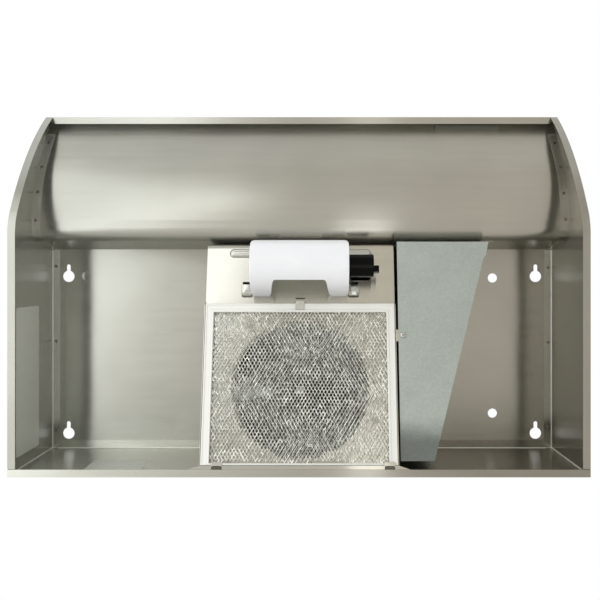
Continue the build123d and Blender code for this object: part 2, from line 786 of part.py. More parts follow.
with BuildPart() as fan_blade:
    # a strip bent to the blade's curve, then cut to the blade's outline
    chord_run = Vector(cos(radians(blade_pitch)), -sin(radians(blade_pitch))) * (tip_chord / 2)
    blade_root = Plane(
        origin=plate.from_local_coords((0, 0, fan_mid)), x_dir=plate.y_dir, z_dir=(1, 0, 0)
    )
    with BuildSketch(blade_root):
        with BuildLine():
            SagittaArc((-chord_run.X, -chord_run.Y), (chord_run.X, chord_run.Y), tip_chord * blade_camber)
            offset(amount=blade_skin, side=Side.LEFT)
        make_face()
    extrude(amount=fan_radius)
    with BuildSketch(plate):
        Circle(fan_radius)
        with BuildLine():
            Polyline(
                (root_radius, -root_chord / 2),
                (fan_radius, -tip_chord / 2),
                (fan_radius, tip_chord / 2),
                (root_radius, root_chord / 2),
                close=True,
            )
        make_face(mode=Mode.INTERSECT)
    extrude(amount=2 * fan_mid, mode=Mode.INTERSECT)

with BuildPart() as fan_blades:
    with BuildSketch(plate.offset(fan_mid - blade_skin / 2)):
        Circle(spider_radius)
    extrude(amount=blade_skin)
    for turn in range(blade_count):
        add(fan_blade.part.rotate(fan_axis, turn * 360 / blade_count))
    with BuildSketch(plate.offset(fan_mid - hub_length / 2)):
        Circle(hub_radius)
    extrude(amount=hub_length)
    with BuildSketch(plate):
        Circle(shaft_radius)
    extrude(amount=2 * fan_mid, mode=Mode.SUBTRACT)
fan_blades.part.label = "fan_blades"

with BuildPart() as fan_nut:
    with BuildSketch(plate.offset(fan_mid - hub_length / 2)):
        RegularPolygon(shaft_radius * 2, 6)
        Circle(shaft_radius, mode=Mode.SUBTRACT)
    extrude(amount=-nut_height)
fan_nut.part.label = "fan_nut"

# ================================================================ duct collar and damper
collar_inner = collar_radius - sheet

with BuildPart() as duct_collar:
    with BuildSketch(Plane.XY):
        with Locations((0, duct_y)):
            Rectangle(collar_plate, collar_plate)
    extrude(amount=sheet)
    with BuildSketch(Plane.XY):
        with Locations((0, duct_y)):
            Circle(collar_radius)
    extrude(amount=collar_height)
    with BuildSketch(Plane.XY):
        with Locations((0, duct_y)):
            Circle(collar_inner)
    extrude(amount=collar_height, mode=Mode.SUBTRACT)
    # lugs on which the closed flaps rest
    with BuildSketch(Plane.XY.offset(damper_rise - damper_skin / 2 - sheet)):
        with Locations((0, duct_y)):
            Rectangle(lug_width, 2 * collar_inner + sheet)
            Rectangle(lug_width, 2 * (collar_inner - lug_reach), mode=Mode.SUBTRACT)
    extrude(amount=sheet)
    with BuildSketch(Plane.YZ):
        with Locations((duct_y, damper_rise)):
            Circle(damper_pin_radius)
    extrude(amount=collar_radius, both=True, mode=Mode.SUBTRACT)
duct_collar.part.label = "duct_collar"

with BuildPart() as damper_pin:
    with BuildSketch(Plane.YZ):
        with Locations((duct_y, damper_rise)):
            Circle(damper_pin_radius)
    extrude(amount=collar_radius - sheet / 4, both=True)
damper_pin.part.label = "damper_pin"


def damper_flap(hand):
    """Half-round flap on the collar's pin; hand is -1 for the lip side, 1 for the wall side."""
    own_knuckles = [hand * knuckle_pitch * place for place in (-1.5, 0.5)]
    other_knuckles = [-x for x in own_knuckles]
    with BuildPart() as flap:
        with BuildSketch(Plane.XY.offset(damper_rise - damper_skin / 2)):
            with Locations((0, duct_y)):
                Circle(collar_inner - damper_gap)
                Rectangle(2 * collar_radius, 2 * (damper_pin_radius + side_gap), mode=Mode.SUBTRACT)
                with Locations((0, -hand * collar_radius)):
                    Rectangle(2 * collar_radius, 2 * collar_radius, mode=Mode.SUBTRACT)
                for x in other_knuckles:
                    with Locations((x, 0)):
                        Rectangle(
                            knuckle_length + 2 * damper_gap,
                            2 * (knuckle_radius + damper_gap),
                            mode=Mode.SUBTRACT,
                        )
        extrude(amount=damper_skin)
        for x in own_knuckles:
            with BuildSketch(Plane.YZ.offset(x - knuckle_length / 2)):
                with Locations((duct_y, damper_rise)):
                    Circle(knuckle_radius)
            extrude(amount=knuckle_length)
        with BuildSketch(Plane.YZ):
            with Locations((duct_y, damper_rise)):
                Circle(damper_pin_radius + running_gap)
        extrude(amount=collar_radius, both=True, mode=Mode.SUBTRACT)
    return flap


damper_flap_front = damper_flap(-1)
damper_flap_front.part.label = "damper_flap_front"
damper_flap_rear = damper_flap(1)
damper_flap_rear.part.label = "damper_flap_rear"

# ================================================================ controls behind the lip
control_z = -control_drop
button_back_y = front_y - button_stand + button_length

with BuildPart() as control_housing:
    with BuildSketch(Plane.XZ.offset(-side_front_y)):
        with Locations((control_x, control_z)):
            Rectangle(control_length, control_height)
    extrude(amount=-control_depth + 2 * sheet)
    with BuildSketch(Plane.XZ.offset(-side_front_y)):
        with Locations((control_x, control_z)):
            with GridLocations(button_pitch, 1, 3, 1):
                Circle(button_radius + button_gap)
    extrude(amount=-(button_back_y + button_travel + button_gap - side_front_y), mode=Mode.SUBTRACT)
control_housing.part.label = "control_housing"

def push_button(place):
    """Round push button; place counts from the middle of the row."""
    with BuildPart() as button:
        with BuildSketch(Plane.XZ.offset(-(front_y - button_stand))):
            with Locations((control_x + place * button_pitch, control_z)):
                Circle(button_radius)
        extrude(amount=-button_length)
    return button


light_button = push_button(-1)
light_button.part.label = "light_button"
fan_low_button = push_button(0)
fan_low_button.part.label = "fan_low_button"
fan_high_button = push_button(1)
fan_high_button.part.label = "fan_high_button"

# ================================================================ wiring compartment
with BuildPart() as wiring_cover:
    with BuildSketch(Plane.XY.offset(-hood_height)):
        with BuildLine():
            Polyline(
                (cover_left_x, cover_front_y),
                (cover_front_right, cover_front_y),
                (cover_step_right, cover_step_y),
                (cover_slant_right, cover_slant_y),
                (cover_rear_right, cover_rear_y),
                (cover_left_x, cover_rear_y),
                close=True,
            )
        make_face()
    extrude(amount=hood_height - sheet)
    split(bisect_by=cover_plane, keep=Keep.TOP)
    # the front wall leans back beside the inner front panel
    lean_plane = Plane(
        origin=(0, cover_front_y, -cover_front_drop),
        x_dir=(1, 0, 0),
        z_dir=(0, cover_front_drop, -cover_front_lean),
    )
    split(bisect_by=lean_plane, keep=Keep.TOP)
    offset(
        amount=-sheet,
        openings=[
            wiring_cover.faces().sort_by(Axis.Z)[-1],
            wiring_cover.faces().sort_by(Axis.X)[0],
        ],
    )
    with BuildSketch(cover_plane):
        with Locations((cover_screw_x, screw_along)):
            Circle(screw_radius)
    extrude(amount=sheet, mode=Mode.SUBTRACT)
    # flange along the slanted wall, against the top panel
    with BuildSketch(Plane.XY.offset(-2 * sheet)):
        with BuildLine():
            Polyline(
                (cover_slant_right - sheet, cover_slant_y),
                (cover_slant_right + lap_flange, cover_slant_y),
                (cover_rear_right + lap_flange, cover_rear_y),
                (cover_rear_right - sheet, cover_rear_y),
                close=True,
            )
        make_face()
    extrude(amount=sheet)
wiring_cover.part.label = "wiring_cover"

with BuildPart() as wiring_cover_screw:
    cover_screw_at = cover_plane.from_local_coords((cover_screw_x, screw_along, 0))
    with BuildSketch(Plane(origin=cover_screw_at, x_dir=(1, 0, 0), z_dir=-cover_plane.z_dir)):
        RegularPolygon(screw_head_radius, 6)
    extrude(amount=screw_head_height)
    with BuildSketch(Plane(origin=cover_screw_at, x_dir=(1, 0, 0), z_dir=cover_plane.z_dir)):
        Circle(screw_radius - running_gap)
    extrude(amount=screw_length)
wiring_cover_screw.part.label = "wiring_cover_screw"

with BuildPart() as terminal_block:
    with BuildSketch(Plane.XY.offset(-sheet)):
        with Locations((block_x, block_y)):
            Rectangle(block_length, block_width)
    extrude(amount=-block_height)
    with BuildSketch(Plane.XY.offset(-sheet - block_height)):
        with Locations((block_x, block_y)):
            with GridLocations(terminal_pitch, 1, 2, 1):
                Rectangle(2 * sheet, block_width)
    extrude(amount=-2 * sheet)
terminal_block.part.label = "terminal_block"

# ================================================================ files
pieces = [
    top_panel,
    back_panel,
    side_panel_left,
    side_panel_right,
    inner_front_panel,
    filter_housing,
    filter_frame,
    filter_mesh,
    filter_latch,
    lamp_lens,
    lamp_socket,
    socket_shell,
    socket_contact,
    motor_bracket,
    motor_housing,
    motor_shaft,
    fan_blades,
    fan_nut,
    duct_collar,
    damper_pin,
    damper_flap_front,
    damper_flap_rear,
    control_housing,
    light_button,
    fan_low_button,
    fan_high_button,
    wiring_cover,
    wiring_cover_screw,
    terminal_block,
]
for piece in pieces:
    export_step(piece.part, f"parts/{piece.part.label}.step")
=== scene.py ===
import math
import random

import bmesh
import bpy
from bpy.props import FloatProperty, FloatVectorProperty, IntProperty, PointerProperty, StringProperty
from mathutils import Matrix, Vector, noise
from mathutils.bvhtree import BVHTree


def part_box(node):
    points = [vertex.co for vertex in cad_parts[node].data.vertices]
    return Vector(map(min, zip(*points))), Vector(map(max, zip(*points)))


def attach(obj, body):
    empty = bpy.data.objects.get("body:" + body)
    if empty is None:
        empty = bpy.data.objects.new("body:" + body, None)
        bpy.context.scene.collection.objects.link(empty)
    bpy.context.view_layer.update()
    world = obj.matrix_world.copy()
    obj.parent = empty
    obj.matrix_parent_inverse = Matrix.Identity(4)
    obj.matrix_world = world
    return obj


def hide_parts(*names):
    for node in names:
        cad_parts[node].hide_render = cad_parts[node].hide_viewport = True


bl_info = {
    "name": "Range hood looks",
    "version": (1, 0, 0),
    "blender": (4, 5, 0),
    "location": "View3D > Sidebar > Hood",
    "description": "Dresses an under-cabinet range hood with sheet steel, mesh, lamp and wiring cover",
    "category": "Object",
}

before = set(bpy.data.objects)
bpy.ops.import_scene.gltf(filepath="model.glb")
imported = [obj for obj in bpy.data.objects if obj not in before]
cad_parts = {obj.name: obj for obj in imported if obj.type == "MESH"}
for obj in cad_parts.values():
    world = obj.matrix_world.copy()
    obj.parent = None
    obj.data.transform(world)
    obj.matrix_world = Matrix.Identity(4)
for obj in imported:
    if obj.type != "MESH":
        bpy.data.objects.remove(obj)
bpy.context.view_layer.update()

MM = 0.001
PHOTO_PIXELS = 600
HANDS = (-1, 1)  # left and right
DOWN, UP = (0, 0, -1), (0, 0, 1)


# ---- kinds of value
def length(name, description, mm):
    """Length, or place in one direction, given in millimetres."""
    return FloatProperty(name=name, description=description, default=mm * MM, unit="LENGTH")


def lengths(name, description, metres):
    """Several lengths or places in one direction."""
    return FloatVectorProperty(
        name=name, description=description, default=metres, size=len(metres), subtype="NONE", unit="LENGTH"
    )


def spot(name, description, at):
    """Place in the hood's frame, in metres."""
    return FloatVectorProperty(name=name, description=description, default=at, subtype="TRANSLATION")


def angle(name, description, degrees):
    """Angle, given in degrees."""
    return FloatProperty(name=name, description=description, default=math.radians(degrees), subtype="ANGLE")


def amount(name, description, value):
    """Plain number, such as a brightness, where white is 1."""
    return FloatProperty(name=name, description=description, default=value, min=0)


def share(name, description, value):
    """Number between none and all."""
    return FloatProperty(name=name, description=description, default=value, min=0, max=1, subtype="FACTOR")


def tone(name, description, code):
    """Colour as sRGB hex."""
    return StringProperty(name=name, description=f"{description}, sRGB hex", default=code)


# ---- sizes and colours
class HoodStage(bpy.types.PropertyGroup):
    """Camera, floor and lights."""

    camera_at: spot("Camera", "Place of the camera under the hood", (0.0285, -0.120, -1.237))
    focal_pixels: amount("Focal length", "In pixels of the picture", 811.0)
    axis_x: amount("Axis x", "Picture column straight above the camera", 320.8)
    axis_y: amount("Axis y", "Picture row straight above the camera", 276.0)
    floor_z: length("Floor", "Height of the floor", -1850)
    floor_reach: length("Floor reach", "From its middle to each edge", 12000)
    floor_colour: tone("Floor colour", "Paint", "#e6e2dc")
    box_left: spot("Soft box, left foot", "Lower edge of the soft box, wall end", (-1.16, 0.98, -1.84))
    box_break: spot("Soft box, seam", "Where its bright half begins", (-0.86, 0.30, -1.84))
    box_right: spot("Soft box, right foot", "Lower edge of the soft box, room end", (-0.13, -1.36, -1.84))
    box_height: length("Soft box height", "Up its slope", 1500)
    box_core: length("Bright height", "Of its brightest band, up the slope", 270)
    box_lean: angle("Soft box lean", "Away from the hood", 32)
    lamp_colour: tone("Lamp colour", "Daylight", "#fafcff")
    box_level: amount("Soft box level", "Brightness of its brightest band", 2.35)
    far_level: amount("Far half level", "Brightness of the rest of the box", 1.08)
    fill_at: spot("Fill", "Middle of the broad lamp below", (0, -0.1, -1.83))
    fill_side: length("Fill side", "Of the square lamp", 3000)
    fill_level: amount("Fill level", "Brightness of the broad lamp below", 0.12)
    strip_at: spot("Strip", "Middle of the low lamp at the right", (0.19, 0.10, -1.84))
    strip_width: length("Strip width", "Across the hood", 160)
    strip_length: length("Strip length", "Front to wall", 1000)
    strip_level: amount("Strip level", "Brightness of the low lamp", 1.9)


class HoodSteel(bpy.types.PropertyGroup):
    """Sheet metal of the canopy, housing and wiring cover."""

    # painted reflection: one stainless is given a left and a right colour, paler at the left and browner at the
    # right
    left_colour: tone("Left", "Stainless at the left", "#aeafa7")
    right_colour: tone("Right", "Stainless at the right", "#afaca1")
    # painted shade: the right side panel's darker copy of the stainless
    dull_colour: tone("Right side", "Right side panel", "#9a978c")
    # painted light and shade: the back panel is much paler at the left than at the right
    worn_left: tone("Back, left", "Left of the back panel", "#c3c5bc")
    worn_right: tone("Back, right", "Right of the back panel", "#989489")
    # painted reflection: the housing is whiter at the left and beige at the right, where it mirrors the lens
    housing_left: tone("Housing, left", "Bright stainless", "#b4b6b1")
    housing_right: tone("Housing, right", "Bright stainless", "#bcb6a6")
    zinc_colour: tone("Galvanised", "Hot-dipped zinc", "#a8b0aa")
    roughness: share("Roughness", "Of the brushed faces", 0.24)
    housing_roughness: share("Housing roughness", "Of its bright faces", 0.15)
    grain_length: amount("Grain length", "Of one brush line, mm", 85.0)
    grain_width: amount("Grain width", "Of one brush line, mm", 1.0)
    blotch: amount("Blotch", "Width of a cloudy patch, mm", 85.0)
    spangle: amount("Spangle", "Width of a zinc crystal, mm", 2.4)
    # painted shade: how bright the zinc is made next to the wall
    dulling: share("Dulling", "Brightness of the zinc next to the wall", 0.4)
    # painted highlight: the paler colour of the bends
    bend_colour: tone("Bends", "Burnished stainless", "#d9dbd3")
    bend_radius: length("Bend", "Radius inside the corners", 1.3)
    corner_x: length("Corner x", "Inner face of a side panel", 380.2)
    corner_y: length("Corner y", "Inner face of the back panel", 142.2)
    corner_z: length("Corner z", "Underside of the top flanges", -1.6)
    corner_foot: length("Corner foot", "Upper face of the rim flange", -176.8)
    sheet: length("Sheet", "Thickness", 0.8)
    fold_start: length("Fold start", "Beside the filter housing", 148.0)
    fold_front: length("Fold front", "Behind the visor's foot", -159.0)
    weld_radius: length("Weld mark", "Radius", 2.4)
    knockout_at: spot("Knockout", "Round knockout in the top panel", (-0.3288, -0.1202, -0.0008))
    knockout_radius: length("Knockout radius", "Radius", 6.2)


class HoodPlates(bpy.types.PropertyGroup):
    """Two bare plates inside the canopy."""

    thickness: length("Thickness", "Of each plate", 0.25)
    corner: length("Corner", "Radius of the corners", 2.5)
    side_low: spot("Side plate, low", "Corner on the left side panel", (-0.3802, -0.077, -0.149))
    side_high: spot("Side plate, high", "Opposite corner", (-0.3802, 0.1245, -0.062))
    back_low: spot("Back plate, low", "Corner on the back panel", (-0.293, 0.1422, -0.140))
    back_high: spot("Back plate, high", "Opposite corner", (-0.215, 0.1422, -0.081))
    colour: tone("Colour", "Matt anodised aluminium", "#d6d9d2")


class HoodFilter(bpy.types.PropertyGroup):
    """Expanded mesh pad in its channel frame."""

    plate_at: spot("Plate", "Fan centre on the sloped plate", (0.0, 0.0325, -0.141217))
    tilt: angle("Tilt", "Slope of the plate", 14.559)
    centre: length("Centre", "Filter centre along the plate", -8.5)
    face: length("Face", "Room side of the pad, out of the plate", -9.1)
    half_width: length("Half width", "Of the mesh", 127.0)
    half_length: length("Half length", "Of the mesh", 107.5)
    pitch_across: length("Pitch across", "Of the diamonds", 4.8)
    pitch_along: length("Pitch along", "Of the diamonds", 8.6)
    strand_width: length("Strand width", "Of the foil", 0.74)
    strand_thickness: length("Strand thickness", "Of the foil", 0.22)
    strand_tilt: angle("Strand tilt", "Of each strand out of the sheet", 42)
    wave: length("Wave", "Of each layer", 0.45)
    frame_outer: lengths(
        "Frame", "Left, right, front and rear edge along the plate", (-0.1298, 0.1298, -0.1162, 0.101)
    )
    frame_opening: lengths(
        "Opening", "Left, right, front and rear edge of its opening", (-0.1182, 0.1184, -0.104, 0.0982)
    )
    layers: IntProperty(name="Layers", description="Of expanded foil", default=2, min=1, max=6)
    frame_colour: tone("Frame", "Mill aluminium", "#dcded9")
    mesh_colour: tone("Mesh", "Aluminium foil", "#e9eae3")


class HoodLamp(bpy.types.PropertyGroup):
    """Lens and socket."""

    lens_colour: tone("Lens", "Milk white", "#e8ecee")
    socket_colour: tone("Socket", "Black", "#070706")
    socket_at: spot("Socket", "Mouth of the socket on the lamp axis", (0.067, -0.13395, -0.13208))
    socket_radius: length("Socket radius", "Radius", 15.5)
    rib_start: length("First rib", "From the mouth", 3.0)
    rib_pitch: length("Rib pitch", "Between the socket's ribs", 5.2)
    rib_count: IntProperty(name="Ribs", description="Round the socket", default=5)


class HoodHousing(bpy.types.PropertyGroup):
    """Pressed forms of the sloped plate. Lengths along it run from the fan centre."""

    bead_along: length("Bead", "Place along the plate", -190.4)
    bead_length: length("Bead length", "Overall", 199.6)
    bead_width: length("Bead width", "Overall", 12.6)
    bead_height: length("Bead height", "Out of the plate", 3.3)
    tab_x: length("Tab", "Place across the plate", 74.0)
    tab_front: length("Tab front", "Place along the plate", -144.0)
    tab_length: length("Tab length", "Front to rear", 17.4)
    tab_width: length("Tab width", "Overall", 16.4)
    tab_height: length("Tab height", "Out of the plate", 5.4)
    # painted shade: the latch stop is a dark bar where the latch's slot lies in shade
    stop_along: length("Latch stop", "Place along the plate", -125.4)
    stop_length: length("Stop length", "Overall", 13.6)
    stop_width: length("Stop width", "Overall", 2.0)
    stop_height: length("Stop height", "Out of the plate", 0.6)
    clip_x: lengths("Clips", "Middle of each clip", (-0.108, 0.119))
    clip_y: length("Clip y", "Middle of each clip's end", 130.6)
    clip_width: length("Clip width", "Overall", 13.2)
    clip_length: length("Clip length", "Of its end, front to rear", 5.2)
    clip_corner: length("Clip corner", "Radius of the corners", 1.8)


class HoodHardware(bpy.types.PropertyGroup):
    """Screws and nuts."""

    zinc_colour: tone("Zinc plate", "Passivated", "#b7b8b3")
    screw_radius: length("Screw head", "Radius", 4.2)
    screw_height: length("Head height", "Height", 2.4)
    nut_radius: length("Nut", "Across corners, radius", 4.6)
    nut_height: length("Nut height", "Height", 3.2)
    stud_radius: length("Stud", "Radius", 2.0)
    terminal_radius: length("Terminal screw", "Radius of the head", 3.0)
    terminal_height: length("Terminal head height", "Height", 1.6)
    terminal_pitch: length("Terminal pitch", "Between terminals", 18.0)
    terminal_row: length("Terminal row", "From the block's middle line", 5.5)
    bracket_x: length("Bracket screws", "From the fan's middle", 111.0)
    bracket_row: length("Bracket screw rows", "From the fan's middle", 5.0)
    bracket_rise: length("Bracket foot", "Upper face above the plate", 2.3)
    motor_x: length("Motor nuts", "From the fan's middle", 24.0)
    motor_rise: length("Motor seat", "Above the plate", 52.0)
    collar_inset: length("Collar screws", "From the edges of the collar's flange", 6.0)


# ---- materials
def linear(code):
    """sRGB hex to a linear colour."""
    parts = [int(code[i : i + 2], 16) / 255 for i in (1, 3, 5)]
    return (*(p / 12.92 if p <= 0.04045 else ((p + 0.055) / 1.055) ** 2.4 for p in parts), 1.0)


def feed(tree, node, inputs):
    """Gives a node's sockets their values or links."""
    for name, value in inputs.items():
        if isinstance(value, bpy.types.NodeSocket):
            tree.links.new(value, node.inputs[name])
        else:
            node.inputs[name].default_value = value


def add(tree, kind, inputs=None, out=0, **settings):
    """Adds one node with its settings, values and links, and returns one of its outputs."""
    node = tree.nodes.new(kind)
    for name, value in settings.items():
        setattr(node, name, value)
    feed(tree, node, inputs or {})
    return node.outputs[out] if node.outputs else None


def start_finish(name):
    """A material, its tree, its surface shader and the place on the hood in millimetres."""
    finish = bpy.data.materials.new(name)
    finish.use_nodes = True
    tree = finish.node_tree
    tree.nodes.clear()
    surface = add(tree, "ShaderNodeBsdfPrincipled")
    add(tree, "ShaderNodeOutputMaterial", {"Surface": surface})
    place = add(tree, "ShaderNodeTexCoord", out="Object")
    mm = add(tree, "ShaderNodeVectorMath", {0: place, "Scale": 1 / MM}, operation="SCALE")
    return finish, tree, surface.node, mm


def shaded(tree, colour, shade):
    """Colour made lighter and darker by a pattern."""
    mix = {0: 1.0, 6: colour, 7: shade}
    return add(tree, "ShaderNodeMix", mix, out=2, data_type="RGBA", blend_type="MULTIPLY")


def brushed_sheet(name, left, right, grain, steel, roughness):
    """Stainless steel sheet, belt brushed: fine parallel lines, reflections drawn out across them."""
    half_span = 330.0  # mm from the middle, where the left and right colours of the painted reflection are reached
    wipe_width, wipe_length = 9.0, 140.0  # mm, streaks left by wiping
    wave_pitch, wave_height = 130.0, 0.9 * MM
    finish, tree, shader, mm = start_finish(name)
    # cloudy patches a hand wide, left by handling and by the sheet's own waves
    patches = {"Vector": mm, "Scale": 1 / steel.blotch, "Detail": 2.5, "Roughness": 0.55}
    cloud = add(tree, "ShaderNodeTexNoise", patches)
    # painted reflection: the base colour shifts from the left colour to the right colour across the hood,
    # standing in for the brighter and darker surroundings that the sheet mirrors on each side
    x = add(tree, "ShaderNodeSeparateXYZ", {0: mm}, out="X")
    limits = {"From Min": -half_span, "From Max": half_span, "To Min": -0.18, "To Max": 1.18}
    across = add(tree, "ShaderNodeMapRange", {"Value": x} | limits)
    drift = add(tree, "ShaderNodeMath", {0: cloud, 1: 0.3, 2: across}, operation="MULTIPLY_ADD")
    drift = add(tree, "ShaderNodeMath", {0: drift, 1: 0.15}, operation="SUBTRACT", use_clamp=True)
    painted_reflection = add(tree, "ShaderNodeMix", {0: drift, 6: linear(left), 7: linear(right)}, out=2, data_type="RGBA")
    # brush lines: the real ones are 0.1 mm wide, drawn wider so that they show
    fine, coarse = [1 / steel.grain_width] * 3, [1 / wipe_width] * 3
    fine["XYZ".index(grain)], coarse["XYZ".index(grain)] = 1 / steel.grain_length, 1 / wipe_length
    lines = add(tree, "ShaderNodeMapping", {"Vector": mm, "Scale": fine})
    brush = add(tree, "ShaderNodeTexNoise", {"Vector": lines, "Scale": 1.0, "Detail": 4.0, "Roughness": 0.65})
    wide = add(tree, "ShaderNodeMapping", {"Vector": mm, "Scale": coarse})
    smear = add(tree, "ShaderNodeTexNoise", {"Vector": wide, "Scale": 1.0, "Detail": 3.0, "Distortion": 0.4})
    both = add(tree, "ShaderNodeMath", {0: brush, 1: smear}, operation="ADD")
    streaks = {"Value": both, "From Min": 0.6, "From Max": 1.4}
    shade = add(tree, "ShaderNodeMapRange", streaks | {"To Min": 0.945, "To Max": 1.05})
    limits = {"From Min": 0.3, "From Max": 0.7, "To Min": 0.965, "To Max": 1.03}
    cloudy = add(tree, "ShaderNodeMapRange", {"Value": cloud} | limits)
    shade = add(tree, "ShaderNodeMath", {0: shade, 1: cloudy}, operation="MULTIPLY")
    rough = add(tree, "ShaderNodeMapRange", streaks | {"To Min": roughness - 0.02, "To Max": roughness + 0.03})
    # slow waves in the thin sheet bend what it reflects
    wave = add(tree, "ShaderNodeTexNoise", {"Vector": mm, "Scale": 1 / wave_pitch, "Detail": 1.0})
    buckle = add(tree, "ShaderNodeBump", {"Height": wave, "Strength": 1.0, "Distance": wave_height})
    # a little off the axis, so that edges square to the grain have a direction too
    along = add(tree, "ShaderNodeCombineXYZ", {"X": 0.03, "Y": 0.03, "Z": 0.05} | {grain: 1.0})
    normal = add(tree, "ShaderNodeNewGeometry", out="Normal")
    tangent = add(tree, "ShaderNodeVectorMath", {0: normal, 1: along}, operation="CROSS_PRODUCT")
    feed(tree, shader, {
        "Base Color": shaded(tree, painted_reflection, shade), "Roughness": rough, "Normal": buckle, "Tangent": tangent,
        "Metallic": 0.9, "Anisotropic": 1.0,
    })
    return finish


def galvanised_sheet(steel):
    """Galvanised steel sheet, hot dipped with a small spangle: dull grey-green with faint crystals."""
    fleck_width, patch_width = 0.9, 40.0  # mm
    shade_start, shade_end, shade_drift = 78.0, 116.0, 26.0  # mm towards the wall
    finish, tree, shader, mm = start_finish("galvanised_steel_hot_dipped")
    crystals = {"Vector": mm, "Scale": 1 / steel.spangle, "Randomness": 1.0}
    crystal = add(tree, "ShaderNodeTexVoronoi", crystals, out="Color")
    facet = add(tree, "ShaderNodeSeparateColor", {0: crystal})
    flecks = {"Vector": mm, "Scale": 1 / fleck_width, "Detail": 3.0, "Roughness": 0.7}
    fleck = add(tree, "ShaderNodeTexNoise", flecks)
    cloud = add(tree, "ShaderNodeTexNoise", {"Vector": mm, "Scale": 1 / patch_width, "Detail": 2.0})
    grit = add(tree, "ShaderNodeMath", {0: facet, 1: 0.30, 2: fleck}, operation="MULTIPLY_ADD")
    mottle = add(tree, "ShaderNodeMath", {0: cloud, 1: 0.5, 2: grit}, operation="MULTIPLY_ADD")
    limits = {"From Min": 0.5, "From Max": 1.3, "To Min": 0.86, "To Max": 1.10}
    shade = add(tree, "ShaderNodeMapRange", {"Value": mottle} | limits)
    # painted shade: the zinc is made darker towards the wall
    y = add(tree, "ShaderNodeSeparateXYZ", {0: mm}, out="Y")
    edge = add(tree, "ShaderNodeMath", {0: cloud, 1: shade_drift, 2: y}, operation="MULTIPLY_ADD")
    limits = {"From Min": shade_start, "From Max": shade_end, "To Min": 1.0, "To Max": steel.dulling}
    dull = add(tree, "ShaderNodeMapRange", {"Value": edge} | limits, interpolation_type="SMOOTHSTEP")
    shade = add(tree, "ShaderNodeMath", {0: shade, 1: dull}, operation="MULTIPLY")
    rough = add(tree, "ShaderNodeMapRange", {"Value": facet.node.outputs[1], "To Min": 0.40, "To Max": 0.54})
    relief = add(tree, "ShaderNodeBump", {"Height": grit, "Strength": 0.25, "Distance": 0.06 * MM})
    colour = shaded(tree, linear(steel.zinc_colour), shade)
    feed(tree, shader, {"Base Color": colour, "Roughness": rough, "Normal": relief, "Metallic": 0.9})
    return finish


def worked_metal(name, code, roughness, scratch_mm, contrast, metallic=1.0):
    """Metal as it left the rolls or the press: even, with fine scratches and a few dull patches."""
    finish, tree, shader, mm = start_finish(name)
    scratches = {"Vector": mm, "Scale": 1 / scratch_mm, "Detail": 5.0, "Roughness": 0.7}
    scratch = add(tree, "ShaderNodeTexNoise", scratches)
    patch = add(tree, "ShaderNodeTexNoise", {"Vector": mm, "Scale": 1 / (12 * scratch_mm), "Detail": 2.0})
    both = add(tree, "ShaderNodeMath", {0: scratch, 1: patch}, operation="ADD")
    wear = {"Value": both, "From Min": 0.6, "From Max": 1.4}
    shade = add(tree, "ShaderNodeMapRange", wear | {"To Min": 1 - contrast, "To Max": 1 + contrast})
    rough = add(tree, "ShaderNodeMapRange", wear | {"To Min": roughness - 0.07, "To Max": roughness + 0.08})
    relief = add(tree, "ShaderNodeBump", {"Height": scratch, "Strength": 0.3, "Distance": 0.04 * MM})
    colour = shaded(tree, linear(code), shade)
    feed(tree, shader, {"Base Color": colour, "Roughness": rough, "Normal": relief, "Metallic": metallic})
    return finish


def moulded_plastic(name, code, roughness, grain_mm, relief_mm, translucent=0.0, gloss=0.5):
    """Injection-moulded plastic: even colour, a faint flow pattern and the fine grain of the tool."""
    flow_mm = 30.0
    finish, tree, shader, mm = start_finish(name)
    flows = {"Vector": mm, "Scale": 1 / flow_mm, "Detail": 2.0, "Distortion": 0.6}
    flow = add(tree, "ShaderNodeTexNoise", flows)
    grain = add(tree, "ShaderNodeTexNoise", {"Vector": mm, "Scale": 1 / grain_mm, "Detail": 2.0})
    shade = add(tree, "ShaderNodeMapRange", {"Value": flow, "To Min": 0.96, "To Max": 1.02})
    limits = {"To Min": roughness - 0.04, "To Max": roughness + 0.05}
    rough = add(tree, "ShaderNodeMapRange", {"Value": flow} | limits)
    relief = add(tree, "ShaderNodeBump", {"Height": grain, "Strength": 0.4, "Distance": relief_mm * MM})
    feed(tree, shader, {
        "Base Color": shaded(tree, linear(code), shade), "Roughness": rough, "Normal": relief,
        "Specular IOR Level": gloss, "Subsurface Weight": translucent,
        "Subsurface Radius": (0.006, 0.006, 0.005), "Subsurface Scale": 1.0,
    })
    return finish


def zinc_plate(hardware):
    """Steel, zinc plated and passivated: satin with a faint yellow cast."""
    return worked_metal("steel_zinc_plated", hardware.zinc_colour, 0.32, 0.7, 0.10)


def dress(finish, *nodes):
    """Gives CAD nodes their finish."""
    for node in nodes:
        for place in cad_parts[node].material_slots:
            place.material = finish


# ---- shapes
def put_object(context, name, data):
    """Puts a mesh, lamp or camera into the scene. A bmesh is turned into a mesh first."""
    if isinstance(data, bmesh.types.BMesh):
        shape, data = data, bpy.data.meshes.new(name)
        shape.to_mesh(data)
        shape.free()
    made = bpy.data.objects.new(name, data)
    context.collection.objects.link(made)
    return made


def make_piece(context, name, mesh, finish, body):
    """Puts a mesh made in row-frame metres into the scene, riding on a body."""
    piece = put_object(context, name, mesh)
    piece.data.materials.append(finish)
    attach(piece, body)
    return piece


def face_outward(mesh):
    """Turns the faces of a closed form outward."""
    bmesh.ops.recalc_face_normals(mesh, faces=mesh.faces)


